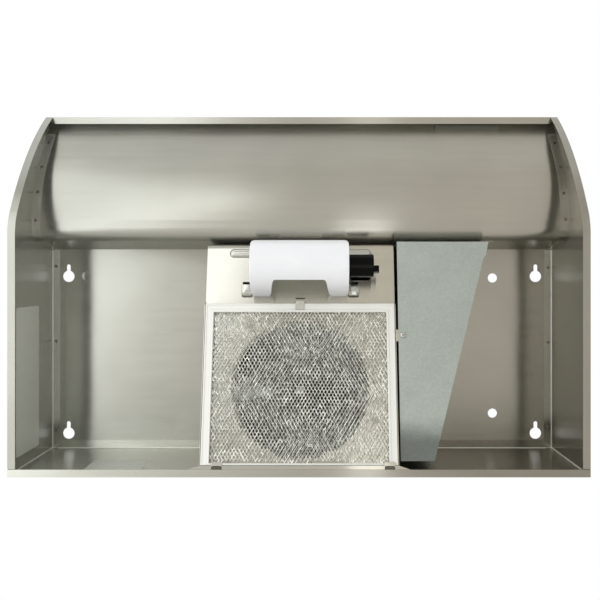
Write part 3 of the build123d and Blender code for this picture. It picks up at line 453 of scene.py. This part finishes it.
def skin(mesh, rings, smooth=False):
    """Faces from each closed ring of corners to the next. A ring of one corner is a point."""
    for low, high in zip(rings, rings[1:]):
        sides = max(len(low), len(high))
        for i in range(sides):
            j = (i + 1) % sides
            corners = [low[i % len(low)], low[j % len(low)], high[j % len(high)], high[i % len(high)]]
            corners = [c for k, c in enumerate(corners) if c not in corners[:k]]
            mesh.faces.new(corners).smooth = smooth


def turned(mesh, place, profile, sides, smooth=True):
    """Turns (radius, height) points about the local z axis of place. A radius of 0 closes the end."""
    rings = []
    for radius, height in profile:
        ring = []
        for i in range(sides if radius > 0 else 1):
            spin = 2 * math.pi * i / sides
            at = Vector((radius * math.cos(spin), radius * math.sin(spin), height))
            ring.append(mesh.verts.new(place @ at))
        rings.append(ring)
    skin(mesh, rings, smooth)


def rounded_outline(half_x, half_y, corner, reach, steps):
    """Points of a rectangle with round corners about its middle. The arcs are drawn with radius reach."""
    outline = []
    for sx, sy, start in ((1, 1, 0), (-1, 1, 90), (-1, -1, 180), (1, -1, 270)):
        x, y = sx * (half_x - corner), sy * (half_y - corner)
        for step in range(steps + 1):
            turn = math.radians(start + 90 / steps * step)
            outline.append((x + reach * math.cos(turn), y + reach * math.sin(turn)))
    return outline


def facing(at, normal):
    """Matrix that puts a part made along +z at a place, pointing along normal."""
    return Matrix.Translation(at) @ Vector(normal).to_track_quat("Z", "Y").to_matrix().to_4x4()


def on_surface(node, start, direction):
    """Where a straight line from start first meets a CAD node, and the face's normal there."""
    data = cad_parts[node].data
    tree = BVHTree.FromPolygons([v.co for v in data.vertices], [p.vertices[:] for p in data.polygons])
    at, normal, _, _ = tree.ray_cast(Vector(start), Vector(direction).normalized())
    if at is None:
        raise RuntimeError(f"nothing of {node} lies along the line from {start}")
    return at, normal if normal.dot(Vector(direction)) < 0 else -normal


def plate_matrix(values):
    """Row frame of the sloped plate: x across, y along it to the wall, z away from the room."""
    return Matrix.Translation(values.plate_at) @ Matrix.Rotation(-values.tilt, 4, "X")


def hex_screw(mesh, place, radius, height):
    """Hexagon head on a washer flange, with the sunk top of a formed head."""
    washer = [(radius, 0), (radius, 0.22 * height), (0.78 * radius, 0.34 * height)]
    head = [
        (0.76 * radius, 0.2 * height), (0.76 * radius, 0.88 * height), (0.68 * radius, height),
        (0.5 * radius, height), (0.44 * radius, 0.84 * height), (0, 0.80 * height),
    ]
    turned(mesh, place, washer, 28)
    turned(mesh, place, head, 6, smooth=False)


def hex_nut(mesh, place, radius, height, stud):
    """Nut with chamfered corners and the end of its stud."""
    body = [(radius, 0), (radius, 0.8 * height), (0.86 * radius, height)]
    body += [(1.15 * stud, height), (stud, 0.85 * height)]
    turned(mesh, place, body, 6, smooth=False)
    turned(mesh, place, [(stud, 0), (stud, 1.35 * height), (0.75 * stud, 1.5 * height), (0, 1.5 * height)], 20)


def cross_head(radius, height):
    """Mesh of a pan head with a cross recess, standing on z = 0."""
    rim, arc_steps = 0.35, 8
    head = bmesh.new()
    dome = [(radius, 0), (radius, rim * height)]
    for step in range(1, arc_steps):
        turn = math.pi / 2 * step / arc_steps
        dome.append((radius * math.cos(turn) ** 0.6, height * (rim + (1 - rim) * math.sin(turn))))
    turned(head, Matrix(), [(0, 0), *dome, (0, height)], 40)
    face_outward(head)
    # cross recess, narrower at its floor
    reach_top, reach_floor, half_slot = 0.56 * radius, 0.35 * 0.56 * radius, 0.13 * radius
    floor_share, above_share = 0.25, 1.4
    cut = bmesh.new()
    for turn in (0, math.pi / 2):
        spin = Matrix.Rotation(turn, 4, "Z")
        for v in bmesh.ops.create_cube(cut, size=1.0)["verts"]:
            reach, share = (reach_floor, floor_share) if v.co.z < 0 else (reach_top, above_share)
            v.co = spin @ Vector((2 * v.co.x * reach, 2 * v.co.y * half_slot, height * share))
    solid, tool = put_object(bpy.context, "head", head), put_object(bpy.context, "cut", cut)
    modifier = solid.modifiers.new("recess", "BOOLEAN")
    modifier.object, modifier.operation, modifier.solver, modifier.use_self = tool, "DIFFERENCE", "EXACT", True
    made = bpy.data.meshes.new_from_object(solid.evaluated_get(bpy.context.evaluated_depsgraph_get()))
    for part in (solid, tool):
        bpy.data.objects.remove(part)
    return made


def put_copy(mesh, part, place):
    """Adds a copy of a finished mesh at a place."""
    before = len(mesh.verts)
    mesh.from_mesh(part)
    mesh.verts.ensure_lookup_table()
    bmesh.ops.transform(mesh, matrix=place, verts=mesh.verts[before:])


def half_round(mesh, plate, along, whole, width, height):
    """Half-round bar with round ends, lying across the sloped plate."""
    arc_steps, sides = 8, 32
    rings = []
    for step in range(arc_steps + 1):
        turn = math.pi / 2 * step / arc_steps
        reach, rise = width / 2 * math.cos(turn), height * math.sin(turn)
        ring = []
        for i in range(sides):
            spin = 2 * math.pi * (i + 0.5) / sides
            end = math.copysign((whole - width) / 2, math.cos(spin))
            at = Vector((end + reach * math.cos(spin), along + reach * math.sin(spin), -rise))
            ring.append(mesh.verts.new(plate @ at))
        rings.append(ring)
    skin(mesh, rings, smooth=True)


def corner_fold(mesh, start, end, first, second, radius):
    """Bend radius in the corner between two sheets, whose faces lie along first and second."""
    arc_steps = 5
    start, end, first, second = Vector(start), Vector(end), Vector(first), Vector(second)
    section = [Vector((0, 0, 0))]
    for step in range(arc_steps + 1):
        turn = math.pi / 2 * step / arc_steps
        section.append(radius * (first + second - second * math.cos(turn) - first * math.sin(turn)))
    near, far = ([mesh.verts.new(at + point) for point in section] for at in (start, end))
    skin(mesh, [near, far])
    mesh.faces.new(near)
    mesh.faces.new(far)


# ---- operators
class HOOD_OT_stage(bpy.types.Operator):
    """Floor, white surroundings, soft lights and the camera under the hood"""

    bl_idname = "hood.stage"
    bl_label = "Stage"

    def execute(self, context):
        stage = context.scene.hood_stage
        world = bpy.data.worlds.new("studio")
        world.use_nodes = True
        tree = world.node_tree
        tree.nodes.clear()
        white = add(tree, "ShaderNodeBackground", {"Color": linear("#ffffff"), "Strength": 1.0})
        add(tree, "ShaderNodeOutputWorld", {"Surface": white})
        context.scene.world = world
        self.floor(context, stage)
        self.lamps(context, stage)
        self.camera(context, stage)
        context.scene.view_settings.view_transform = "Standard"
        return {"FINISHED"}

    def floor(self, context, stage):
        """Plain pale floor."""
        grid = bmesh.new()
        bmesh.ops.create_grid(grid, x_segments=1, y_segments=1, size=stage.floor_reach)
        bmesh.ops.translate(grid, verts=grid.verts, vec=(0, 0, stage.floor_z))
        ground = put_object(context, "floor", grid)
        # concrete, painted with a roller: flat and pale, with a stipple 60 mm wide
        finish, tree, shader, mm = start_finish("painted_concrete_rolled")
        stipple = add(tree, "ShaderNodeTexNoise", {"Vector": mm, "Scale": 1 / 60.0, "Detail": 2.0})
        shade = add(tree, "ShaderNodeMapRange", {"Value": stipple, "To Min": 0.98, "To Max": 1.02})
        feed(tree, shader, {"Base Color": shaded(tree, linear(stage.floor_colour), shade), "Roughness": 0.9})
        ground.data.materials.append(finish)

    def lamps(self, context, stage):
        """Broad fill from below, a low strip at the right and a leaning soft box at the left."""
        left, middle, right = Vector(stage.box_left), Vector(stage.box_break), Vector(stage.box_right)
        along = (right - left).normalized()
        outward = along.cross(Vector(UP))
        rise = outward * math.sin(stage.box_lean) + Vector(UP) * math.cos(stage.box_lean)
        inward = rise.cross(along)
        turn = Matrix((along, along.cross(inward), -inward)).transposed()
        up = Matrix.Rotation(math.pi, 3, "X")
        lamps = [
            # broad soft light, for the pale faces
            ("fill", Vector(stage.fill_at), up, stage.fill_side, stage.fill_side, stage.fill_level),
            # the left side panel mirrors this one
            ("low_strip", Vector(stage.strip_at), up, stage.strip_width, stage.strip_length, stage.strip_level),
        ]
        # the soft box stands on the floor and is brightest in a low band at its room end
        for name, low, high, foot, top, brightness in (
            ("soft_box_far", left, middle, 0, stage.box_height, stage.far_level),
            ("soft_box_core", middle, right, 0, stage.box_core, stage.box_level),
            ("soft_box_top", middle, right, stage.box_core, stage.box_height, stage.far_level),
        ):
            centre = (low + high) / 2 + rise * (foot + top) / 2
            lamps.append((name, centre, turn, (high - low).length, top - foot, brightness))
        for name, at, spin, width, height, brightness in lamps:
            lamp = bpy.data.lights.new(name, "AREA")
            lamp.shape = "RECTANGLE"
            lamp.size, lamp.size_y = width, height
            lamp.energy = brightness * math.pi * width * height
            lamp.color = linear(stage.lamp_colour)[:3]
            holder = put_object(context, name, lamp)
            holder.matrix_world = Matrix.Translation(at) @ spin.to_4x4()
            holder.visible_camera = False
            holder.visible_glossy = name != "fill"

    def camera(self, context, stage):
        """Camera under the hood, looking straight up, shifted as the photograph is cropped."""
        camera = bpy.data.cameras.new("camera")
        camera.lens = stage.focal_pixels / PHOTO_PIXELS * camera.sensor_width
        camera.shift_x = (PHOTO_PIXELS / 2 - stage.axis_x) / PHOTO_PIXELS
        camera.shift_y = (stage.axis_y - PHOTO_PIXELS / 2) / PHOTO_PIXELS
        camera.clip_end = 40
        eye = put_object(context, "camera", camera)
        eye.matrix_world = Matrix.Translation(stage.camera_at) @ Matrix.Rotation(math.pi, 4, "X")
        context.scene.camera = eye


class HOOD_OT_canopy(bpy.types.Operator):
    """Brushed stainless canopy with its weld marks, bends with a painted highlight and round knockout"""

    bl_idname = "hood.canopy"
    bl_label = "Canopy"

    def execute(self, context):
        steel = context.scene.hood_steel
        across, lengthwise, dull, worn = (
            brushed_sheet(f"stainless_304_brushed_{name}", left, right, grain, steel, steel.roughness)
            for name, left, right, grain in (
                ("across", steel.left_colour, steel.right_colour, "X"),
                ("lengthwise", steel.left_colour, steel.right_colour, "Y"),
                ("lengthwise_shaded", steel.dull_colour, steel.dull_colour, "Y"),
                ("worn", steel.worn_left, steel.worn_right, "X"),
            )
        )
        dress(across, "top_panel", "inner_front_panel")
        dress(lengthwise, "side_panel_left")
        # painted shade: the right side panel gets a darker copy of the same stainless
        dress(dull, "side_panel_right")
        # painted light and shade across the back panel: pale at the left, dark at the right
        dress(worn, "back_panel")
        self.weld_marks(context, steel)
        self.corner_folds(context, steel)

        # round knockout in the top panel, held by its sheared edge
        knockout = bmesh.new()
        k = steel.knockout_radius
        edge = [
            (1.16 * k, 0), (1.1 * k, 0.07 * k), (1.03 * k, 0.09 * k), (0.98 * k, 0.02 * k),
            (0.9 * k, 0.012 * k), (0, 0.012 * k),
        ]
        turned(knockout, facing(Vector(steel.knockout_at), DOWN), edge, 48)
        make_piece(context, "cable_knockout", knockout, across, "hood")
        return {"FINISHED"}

    def weld_marks(self, context, steel):
        """Spot welds that join the side panels' flanges to the visor and the top panel."""
        weld_x = 0.3745
        under_visor, in_bay = (-0.318, -0.278, -0.238, -0.200), (-0.134, -0.02, 0.112)
        below_rim, inside_bay, past_rim = -0.5, -0.1, 4 * MM
        # shallow dished rings, tinted straw by the heat
        tinted = worked_metal("stainless_304_spot_welded", "#857f73", 0.30, 0.8, 0.18)
        marks = bmesh.new()
        r = steel.weld_radius
        ring = [(r, 0), (0.86 * r, 0.09 * r), (0.62 * r, 0.03 * r), (0.3 * r, 0.05 * r), (0, 0.06 * r)]
        rng = random.Random(3)
        for hand, panel in zip(HANDS, ("side_panel_left", "side_panel_right")):
            x = hand * weld_x
            for y in under_visor:
                start = Vector((x + rng.uniform(-0.5, 0.5) * MM, y + rng.uniform(-2, 2) * MM, below_rim))
                rim, _ = on_surface(panel, start, UP)
                at, normal = on_surface(panel, rim + Vector((0, 0, past_rim)), UP)
                turned(marks, facing(at, normal), ring, 18)
            for y in in_bay:
                at, normal = on_surface(panel, (x, y + rng.uniform(-2, 2) * MM, inside_bay), UP)
                turned(marks, facing(at, normal), ring, 18)
        make_piece(context, "weld_marks", marks, tinted, "hood")

    def corner_folds(self, context, steel):
        """Bends where the side, back and top sheets meet."""
        # painted highlight: the bends are given a paler stainless than the sheets, so that they show as bright
        # lines
        bend_highlight = worked_metal("stainless_304_bend_painted_highlight", steel.bend_colour, 0.32, 1.0, 0.06, 0.7)
        folds = bmesh.new()
        y, z, bend, forward = steel.corner_y, steel.corner_z, steel.bend_radius, (0, -1, 0)
        for hand in HANDS:
            x, inward = hand * steel.corner_x, (-hand, 0, 0)
            corner_fold(folds, (hand * steel.fold_start, y, z), (x, y, z), DOWN, forward, bend)
            corner_fold(folds, (x, steel.fold_front, z), (x, y, z), DOWN, inward, bend)
            upright = y - steel.sheet
            corner_fold(folds, (x, upright, steel.corner_foot), (x, upright, z), inward, forward, bend)
        face_outward(folds)
        make_piece(context, "corner_folds", folds, bend_highlight, "hood")


class HOOD_OT_plates(bpy.types.Operator):
    """Two bare metal plates inside the canopy"""

    bl_idname = "hood.plates"
    bl_label = "Bare plates"

    def execute(self, context):
        plates = context.scene.hood_plates
        # aluminium plate, anodised matt: paler and duller than the brushed steel round it
        matt = worked_metal("aluminium_plate_matt_anodised", plates.colour, 0.5, 2.0, 0.05, metallic=0.55)
        # inset and rise of the edge in plate thicknesses: a raised border round a lower middle
        border = ((0, 0), (0, 1.0), (0.4, 1.25), (1.6, 1.25), (1.75, 1.1))
        for name, low, high, normal in (
            ("side_plate", Vector(plates.side_low), Vector(plates.side_high), Vector((1, 0, 0))),
            ("back_plate", Vector(plates.back_low), Vector(plates.back_high), Vector((0, -1, 0))),
        ):
            mesh = bmesh.new()
            u, v = (i for i in range(3) if abs(normal[i]) < 0.5)
            middle, half = (low + high) / 2, (high - low) / 2
            rings = []
            for inset, rise in border:
                reach = plates.corner - inset * plates.thickness
                ring = []
                for across, along in rounded_outline(half[u], half[v], plates.corner, reach, 6):
                    at = middle + normal * rise * plates.thickness
                    at[u] += across
                    at[v] += along
                    ring.append(mesh.verts.new(at))
                rings.append(ring)
            skin(mesh, rings)
            mesh.faces.new(rings[-1])
            face_outward(mesh)
            make_piece(context, name, mesh, matt, "hood")
        return {"FINISHED"}


class HOOD_OT_filter(bpy.types.Operator):
    """Layers of expanded aluminium foil in a channel frame, with the latch"""

    bl_idname = "hood.filter"
    bl_label = "Filter"

    def execute(self, context):
        values = context.scene.hood_filter
        plate = plate_matrix(values)
        # aluminium foil, slit and stretched: bright cut edges, dull faces with a film of oil
        foil = worked_metal("aluminium_foil_expanded", values.mesh_colour, 0.30, 1.1, 0.30, metallic=0.92)
        # mill aluminium strip, rolled: soft white sheen with faint draw lines
        strip = worked_metal("aluminium_strip_roll_formed", values.frame_colour, 0.45, 3.0, 0.03, metallic=0.3)
        # spring steel strip, bright
        spring = worked_metal("spring_steel_bright", "#b3b2aa", 0.3, 0.8, 0.08)
        dress(strip, "filter_frame")
        dress(spring, "filter_latch")
        border = self.channel(plate, values)
        border = make_piece(context, "channel_frame", border, strip, "filter")
        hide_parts("filter_frame")
        pad = make_piece(context, "mesh_pad", self.pad(plate, values), foil, "filter")
        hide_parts("filter_mesh")
        return {"FINISHED"}

    def channel(self, plate, values):
        """Mitred frame with rolled edges and a shallow groove along each of its four sides."""
        # share of the way to the opening, offset and depth in mm
        profile = (
            (0, 0, -1.8), (0, 0, -9.3), (0, 0.25, -9.85), (0, 0.9, -10.1), (0, 2.1, -10.1), (0, 3.0, -9.3),
            (1, -3.6, -9.3), (1, -2.7, -10.0), (1, -0.8, -10.1), (1, -0.2, -9.85), (1, 0, -9.3), (1, 0, -1.8),
        )
        full_width = 8 * MM  # a narrower side gets its offsets scaled down
        mesh = bmesh.new()
        rings = []
        for share, offset, depth in profile:
            sides = []
            for edge, opening in zip(values.frame_outer, values.frame_opening):
                run = opening - edge
                scale = min(1.0, abs(run) / full_width) * MM
                sides.append(edge + run * share + math.copysign(offset * scale, run * offset))
            left, right, front, rear = sides
            corners = (left, front), (right, front), (right, rear), (left, rear)
            rings.append([mesh.verts.new(plate @ Vector((x, y, depth * MM))) for x, y in corners])
        skin(mesh, rings + rings[:1])
        face_outward(mesh)
        return mesh

    def pad(self, plate, values):
        """Layers of diamonds, each turned and shifted a little against the last."""
        layer_turns = (0.0, 2.3, -1.7, 3.1, -2.8, 1.2)  # degrees
        first_depth, layer_depth = 0.5, 1.5  # mm
        rng = random.Random(11)
        verts, faces = [], []
        half_across, half_along = values.pitch_across / 2, values.pitch_along / 2
        rows = int(values.half_length * 2 / half_along) + 4
        columns = int(values.half_width * 2 / values.pitch_across) + 4
        for layer in range(values.layers):
            depth = values.face + (first_depth + layer_depth * layer) * MM
            turn = Matrix.Rotation(math.radians(layer_turns[layer]), 2)
            shift = Vector((rng.uniform(0, half_across * 2), rng.uniform(0, half_along * 2)))
            lean = values.strand_tilt * (1 if layer % 2 == 0 else -1)
            for row in range(rows):
                for column in range(columns):
                    x = -values.half_width + (column - 1.5 + (row % 2) / 2) * values.pitch_across
                    y = -values.half_length + (row - 1.5) * half_along
                    start = Vector((x, y)) + shift * 0.5
                    for side in HANDS:
                        ends = [turn @ start, turn @ (start + Vector((side * half_across, half_along)))]
                        if all(abs(p.x) <= values.half_width and abs(p.y) <= values.half_length for p in ends):
                            self.strand(verts, faces, plate, ends, depth, lean, layer, values, rng)
        data = bpy.data.meshes.new("mesh_pad")
        data.from_pydata(verts, [], faces)
        data.update()
        return data

    def strand(self, verts, faces, plate, ends, depth, lean, layer, values, rng):
        """One foil strand between two bonds: bent near its ends, and tilted out of the sheet."""
        bends = ((0.16, 0.30), (0.84, 0.70)) if layer == 0 else ()  # only the front layer's show
        wave_x, wave_y, wave_layer = 28, 22, 3.7  # waves in a metre, and the step from layer to layer
        start, end = ends
        run = end - start
        path = [start, *(start + Vector((run.x * a, run.y * b)) for a, b in bends), end]
        side = Vector((run.y, -run.x)).normalized()
        if side.x < 0:
            side.negate()
        wide = values.strand_width / 2 * rng.uniform(0.82, 1.15)
        thick = values.strand_thickness / 2
        tilt = lean + rng.gauss(0, 0.32)
        across = Vector((side.x * math.cos(tilt), side.y * math.cos(tilt), math.sin(tilt))) * wide
        up = Vector((-side.x * math.sin(tilt), -side.y * math.sin(tilt), math.cos(tilt))) * thick
        low = len(verts)
        for point in path:
            wave = values.wave * noise.noise(Vector((point.x * wave_x, point.y * wave_y, layer * wave_layer)))
            centre = Vector((point.x, point.y + values.centre, depth + wave))
            for a, b in ((1, 1), (-1, 1), (-1, -1), (1, -1)):
                verts.append(plate @ (centre + across * a + up * b))
        for first in range(low, len(verts) - 4, 4):
            for k in range(4):
                j = (k + 1) % 4
                faces.append((first + k, first + j, first + 4 + j, first + 4 + k))


class HOOD_OT_housing(bpy.types.Operator):
    """Bright steel housing over the fan, with its pressed forms and the filter's clips"""

    bl_idname = "hood.housing"
    bl_label = "Filter housing"

    def execute(self, context):
        steel, parts = context.scene.hood_steel, context.scene.hood_housing
        plate = plate_matrix(context.scene.hood_filter)
        bright = brushed_sheet(
            "stainless_304_bright_annealed", steel.housing_left, steel.housing_right, "X", steel,
            steel.housing_roughness,
        )
        dress(bright, "filter_housing")
        # stainless steel, coined smooth by the press tool: near a mirror
        coined = worked_metal("stainless_304_coined", steel.housing_left, 0.12, 1.2, 0.03)
        # spring steel, blued in oil
        blued = worked_metal("spring_steel_blued", "#5c5c55", 0.35, 0.8, 0.10)

        # pressed bead across the light panel, half round
        bead = bmesh.new()
        half_round(bead, plate, parts.bead_along, parts.bead_length, parts.bead_width, parts.bead_height)
        make_piece(context, "light_panel_bead", bead, coined, "hood")
        make_piece(context, "lanced_tabs", self.tabs(plate, parts), coined, "hood")
        # painted shade: a short dark blued bar ahead of the filter stands for the shaded slot where the latch
        # passes through the plate
        stop = bmesh.new()
        half_round(stop, plate, parts.stop_along, parts.stop_length, parts.stop_width, parts.stop_height)
        make_piece(context, "latch_stop", stop, blued, "hood")
        make_piece(context, "clip_ends", self.clips(parts), blued, "hood")
        return {"FINISHED"}

    def tabs(self, plate, parts):
        """Lanced tabs beside the lens: an arch, open to the front and rounded to the rear."""
        rows, half_columns = 12, 8
        level_share, narrowing = 0.45, 0.35
        mesh = bmesh.new()
        for hand in HANDS:
            grid = []
            for row in range(rows + 1):
                along = row / rows
                fall = max(0.0, (along - level_share) / (1 - level_share))
                wide = parts.tab_width / 2 * (1 - narrowing * fall**3)
                high = parts.tab_height * math.sqrt(max(0.0, 1 - fall**2))
                line = []
                for k in range(-half_columns, half_columns + 1):
                    across = math.sin(math.pi / 2 * k / half_columns)
                    rise = high * math.sqrt(max(0.0, 1 - abs(across) ** 6))
                    at = (hand * parts.tab_x + wide * across, parts.tab_front + along * parts.tab_length, -rise)
                    line.append(mesh.verts.new(plate @ Vector(at)))
                grid.append(line)
            for low, high in zip(grid, grid[1:]):
                for i in range(2 * half_columns):
                    mesh.faces.new((low[i], low[i + 1], high[i + 1], high[i])).smooth = True
        bmesh.ops.remove_doubles(mesh, verts=mesh.verts, dist=0.01 * MM)
        face_outward(mesh)
        return mesh

    def clips(self, parts):
        """Rounded ends of the two clips that carry the filter's rear edge."""
        mesh = bmesh.new()
        corner, y = parts.clip_corner, parts.clip_y
        outline = rounded_outline(parts.clip_width / 2, parts.clip_length / 2, corner, corner, 4)
        for x in parts.clip_x:
            rings = [
                [mesh.verts.new((x + across * shrink, y + along * shrink, z * MM)) for across, along in outline]
                for shrink, z in ((1.0, -176.6), (1.0, -177.4), (0.94, -177.85))
            ]
            skin(mesh, rings)
            mesh.faces.new(rings[-1])
        face_outward(mesh)
        return mesh


class HOOD_OT_lamp(bpy.types.Operator):
    """White lens over the lamp, and its black socket"""

    bl_idname = "hood.lamp"
    bl_label = "Lamp"

    def execute(self, context):
        lamp = context.scene.hood_lamp
        # polycarbonate, moulded milk white: soft gloss, a little light comes through
        milky = moulded_plastic("polycarbonate_milk_white_moulded", lamp.lens_colour, 0.34, 1.2, 0.01, 0.7)
        # phenolic, pressed: black with a hard gloss
        phenolic = moulded_plastic("phenolic_black_pressed", lamp.socket_colour, 0.14, 0.8, 0.002, gloss=0.07)
        dress(milky, "lamp_lens")
        dress(phenolic, "lamp_socket")
        # aluminium, spun: satin
        dress(worked_metal("aluminium_shell_spun", "#c2c2bd", 0.3, 0.8, 0.06), "socket_shell")
        # brass, rolled: warm and slightly tarnished
        dress(worked_metal("brass_rolled", "#c9a45c", 0.28, 0.8, 0.08), "socket_contact")
        ribs = bmesh.new()
        axis = facing(Vector(lamp.socket_at), (1, 0, 0))
        root, crest = lamp.socket_radius - 0.6 * MM, lamp.socket_radius - 0.02 * MM
        for k in range(lamp.rib_count):
            low = lamp.rib_start + k * lamp.rib_pitch
            rib = [(root, low), (crest, low + 0.5 * MM), (crest, low + 1.3 * MM), (root, low + 1.8 * MM)]
            turned(ribs, axis, rib, 56)
        make_piece(context, "socket_ribs", ribs, phenolic, "hood")
        return {"FINISHED"}


class HOOD_OT_wiring(bpy.types.Operator):
    """Galvanised wiring cover, its screw and the terminal block behind it"""

    bl_idname = "hood.wiring"
    bl_label = "Wiring cover"

    def execute(self, context):
        hardware = context.scene.hood_hardware
        zinc = zinc_plate(hardware)
        dress(galvanised_sheet(context.scene.hood_steel), "wiring_cover")
        # urea resin, pressed: cream white, dull
        dress(moulded_plastic("urea_white_moulded", "#e6e2d6", 0.4, 0.9, 0.02), "terminal_block")

        # screw at the cover's edge, square to the cover
        cover_fall, screw_turn = 0.19877, 0.5
        below, beside = 50 * MM, 6 * MM
        low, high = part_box("wiring_cover_screw")
        middle = (low + high) / 2
        slope = math.atan(cover_fall)
        down = Vector((0, -math.sin(slope), -math.cos(slope)))
        seat, _ = on_surface("wiring_cover", middle + down * below + Vector((beside, 0, 0)), -down)
        seat.x = middle.x
        head = bmesh.new()
        pan = cross_head(hardware.screw_radius, hardware.screw_height)
        put_copy(head, pan, facing(seat, down) @ Matrix.Rotation(screw_turn, 4, "Z"))
        shank = [(2.1 * MM, 0), (2.1 * MM, 3.2 * MM), (1.6 * MM, 3.8 * MM), (0, 3.8 * MM)]
        turned(head, facing(seat, -down), shank, 24)
        screw = make_piece(context, "cover_screw", head, zinc, "hood")
        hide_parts("wiring_cover_screw")

        # two rows of three in the terminal block
        low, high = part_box("terminal_block")
        middle = (low + high) / 2
        screws = bmesh.new()
        pan = cross_head(hardware.terminal_radius, hardware.terminal_height)
        for column in (-1, 0, 1):
            for row in HANDS:
                x = middle.x + column * hardware.terminal_pitch
                put_copy(screws, pan, facing(Vector((x, middle.y + row * hardware.terminal_row, low.z)), DOWN))
        make_piece(context, "terminal_screws", screws, zinc, "hood")
        return {"FINISHED"}


class HOOD_OT_fan(bpy.types.Operator):
    """Motor, bracket and blades with their nuts and screws"""

    bl_idname = "hood.fan"
    bl_label = "Fan"

    def execute(self, context):
        hardware = context.scene.hood_hardware
        plate = plate_matrix(context.scene.hood_filter)
        zinc = zinc_plate(hardware)
        dress(galvanised_sheet(context.scene.hood_steel), "motor_bracket")
        # enamel, sprayed on pressed steel: black, slightly orange-peeled
        dress(moulded_plastic("enamel_black_sprayed", "#1d1d1f", 0.32, 1.5, 0.03), "motor_housing")
        # steel bar, ground: bright
        dress(worked_metal("steel_shaft_ground", "#b3b1aa", 0.2, 0.5, 0.06), "motor_shaft")
        # aluminium sheet, stamped; its dark grey colour is painted shade inside the fan opening
        dress(worked_metal("aluminium_blade_stamped", "#424340", 0.5, 1.6, 0.10), "fan_blades")
        dress(zinc, "fan_nut")
        away, toward = (plate.to_3x3() @ Vector(way) for way in (UP, DOWN))
        screws, nuts = bmesh.new(), bmesh.new()
        for hand in HANDS:
            x = hand * hardware.bracket_x
            for row in HANDS:
                at = plate @ Vector((x, row * hardware.bracket_row, hardware.bracket_rise))
                hex_screw(screws, facing(at, away), hardware.screw_radius, hardware.screw_height)
            at = plate @ Vector((hand * hardware.motor_x, 0, hardware.motor_rise))
            hex_nut(nuts, facing(at, toward), hardware.nut_radius, hardware.nut_height, hardware.stud_radius)
        make_piece(context, "bracket_screws", screws, zinc, "hood")
        make_piece(context, "motor_nuts", nuts, zinc, "hood")
        return {"FINISHED"}


class HOOD_OT_duct(bpy.types.Operator):
    """Galvanised duct collar with its damper and screws"""

    bl_idname = "hood.duct"
    bl_label = "Duct collar"

    def execute(self, context):
        hardware = context.scene.hood_hardware
        zinc = zinc_plate(hardware)
        coated = galvanised_sheet(context.scene.hood_steel)
        dress(coated, "duct_collar", "damper_flap_front", "damper_flap_rear")
        dress(zinc, "damper_pin")
        low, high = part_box("duct_collar")
        middle = (low + high) / 2
        reach = high - middle - Vector((hardware.collar_inset, hardware.collar_inset, 0))
        above = 0.5
        screws = bmesh.new()
        for sx in HANDS:
            for sy in HANDS:
                start = Vector((middle.x + sx * reach.x, middle.y + sy * reach.y, above))
                seat, _ = on_surface("duct_collar", start, DOWN)
                hex_screw(screws, facing(seat, UP), hardware.screw_radius, hardware.screw_height)
        make_piece(context, "collar_screws", screws, zinc, "hood")
        return {"FINISHED"}


class HOOD_OT_controls(bpy.types.Operator):
    """Push buttons in the front lip and the box behind them"""

    bl_idname = "hood.controls"
    bl_label = "Controls"

    def execute(self, context):
        # ABS, polished: black with a clear gloss
        cap = moulded_plastic("abs_black_polished", "#161616", 0.12, 0.6, 0.004)
        dress(cap, "light_button", "fan_low_button", "fan_high_button")
        dress(galvanised_sheet(context.scene.hood_steel), "control_housing")
        return {"FINISHED"}


# ---- panel
class HOOD_PT_panel(bpy.types.Panel):
    """Lists the hood's groups of pieces"""

    bl_idname = "HOOD_PT_panel"
    bl_label = "Range hood"
    bl_space_type = "VIEW_3D"
    bl_region_type = "UI"
    bl_category = "Hood"

    def draw(self, context):
        for operator in operators:
            self.layout.operator(operator.bl_idname)
        for name in groups:
            values = getattr(context.scene, name)
            box = self.layout.box()
            for key in values.__annotations__:
                box.prop(values, key)


groups = {
    f"hood_{group.__name__[4:].lower()}": group
    for group in (HoodStage, HoodSteel, HoodPlates, HoodFilter, HoodLamp, HoodHousing, HoodHardware)
}
operators = (
    HOOD_OT_stage, HOOD_OT_canopy, HOOD_OT_plates, HOOD_OT_housing, HOOD_OT_filter,
    HOOD_OT_lamp, HOOD_OT_wiring, HOOD_OT_fan, HOOD_OT_duct, HOOD_OT_controls,
)
classes = (*groups.values(), *operators, HOOD_PT_panel)


def register():
    for cls in classes:
        bpy.utils.register_class(cls)
    for name, group in groups.items():
        setattr(bpy.types.Scene, name, PointerProperty(type=group))


def unregister():
    for name in groups:
        delattr(bpy.types.Scene, name)
    for cls in reversed(classes):
        bpy.utils.unregister_class(cls)


def main():
    register()
    for operator in operators:
        group, name = operator.bl_idname.split(".")
        getattr(getattr(bpy.ops, group), name)()


if __name__ == "__main__":
    main()
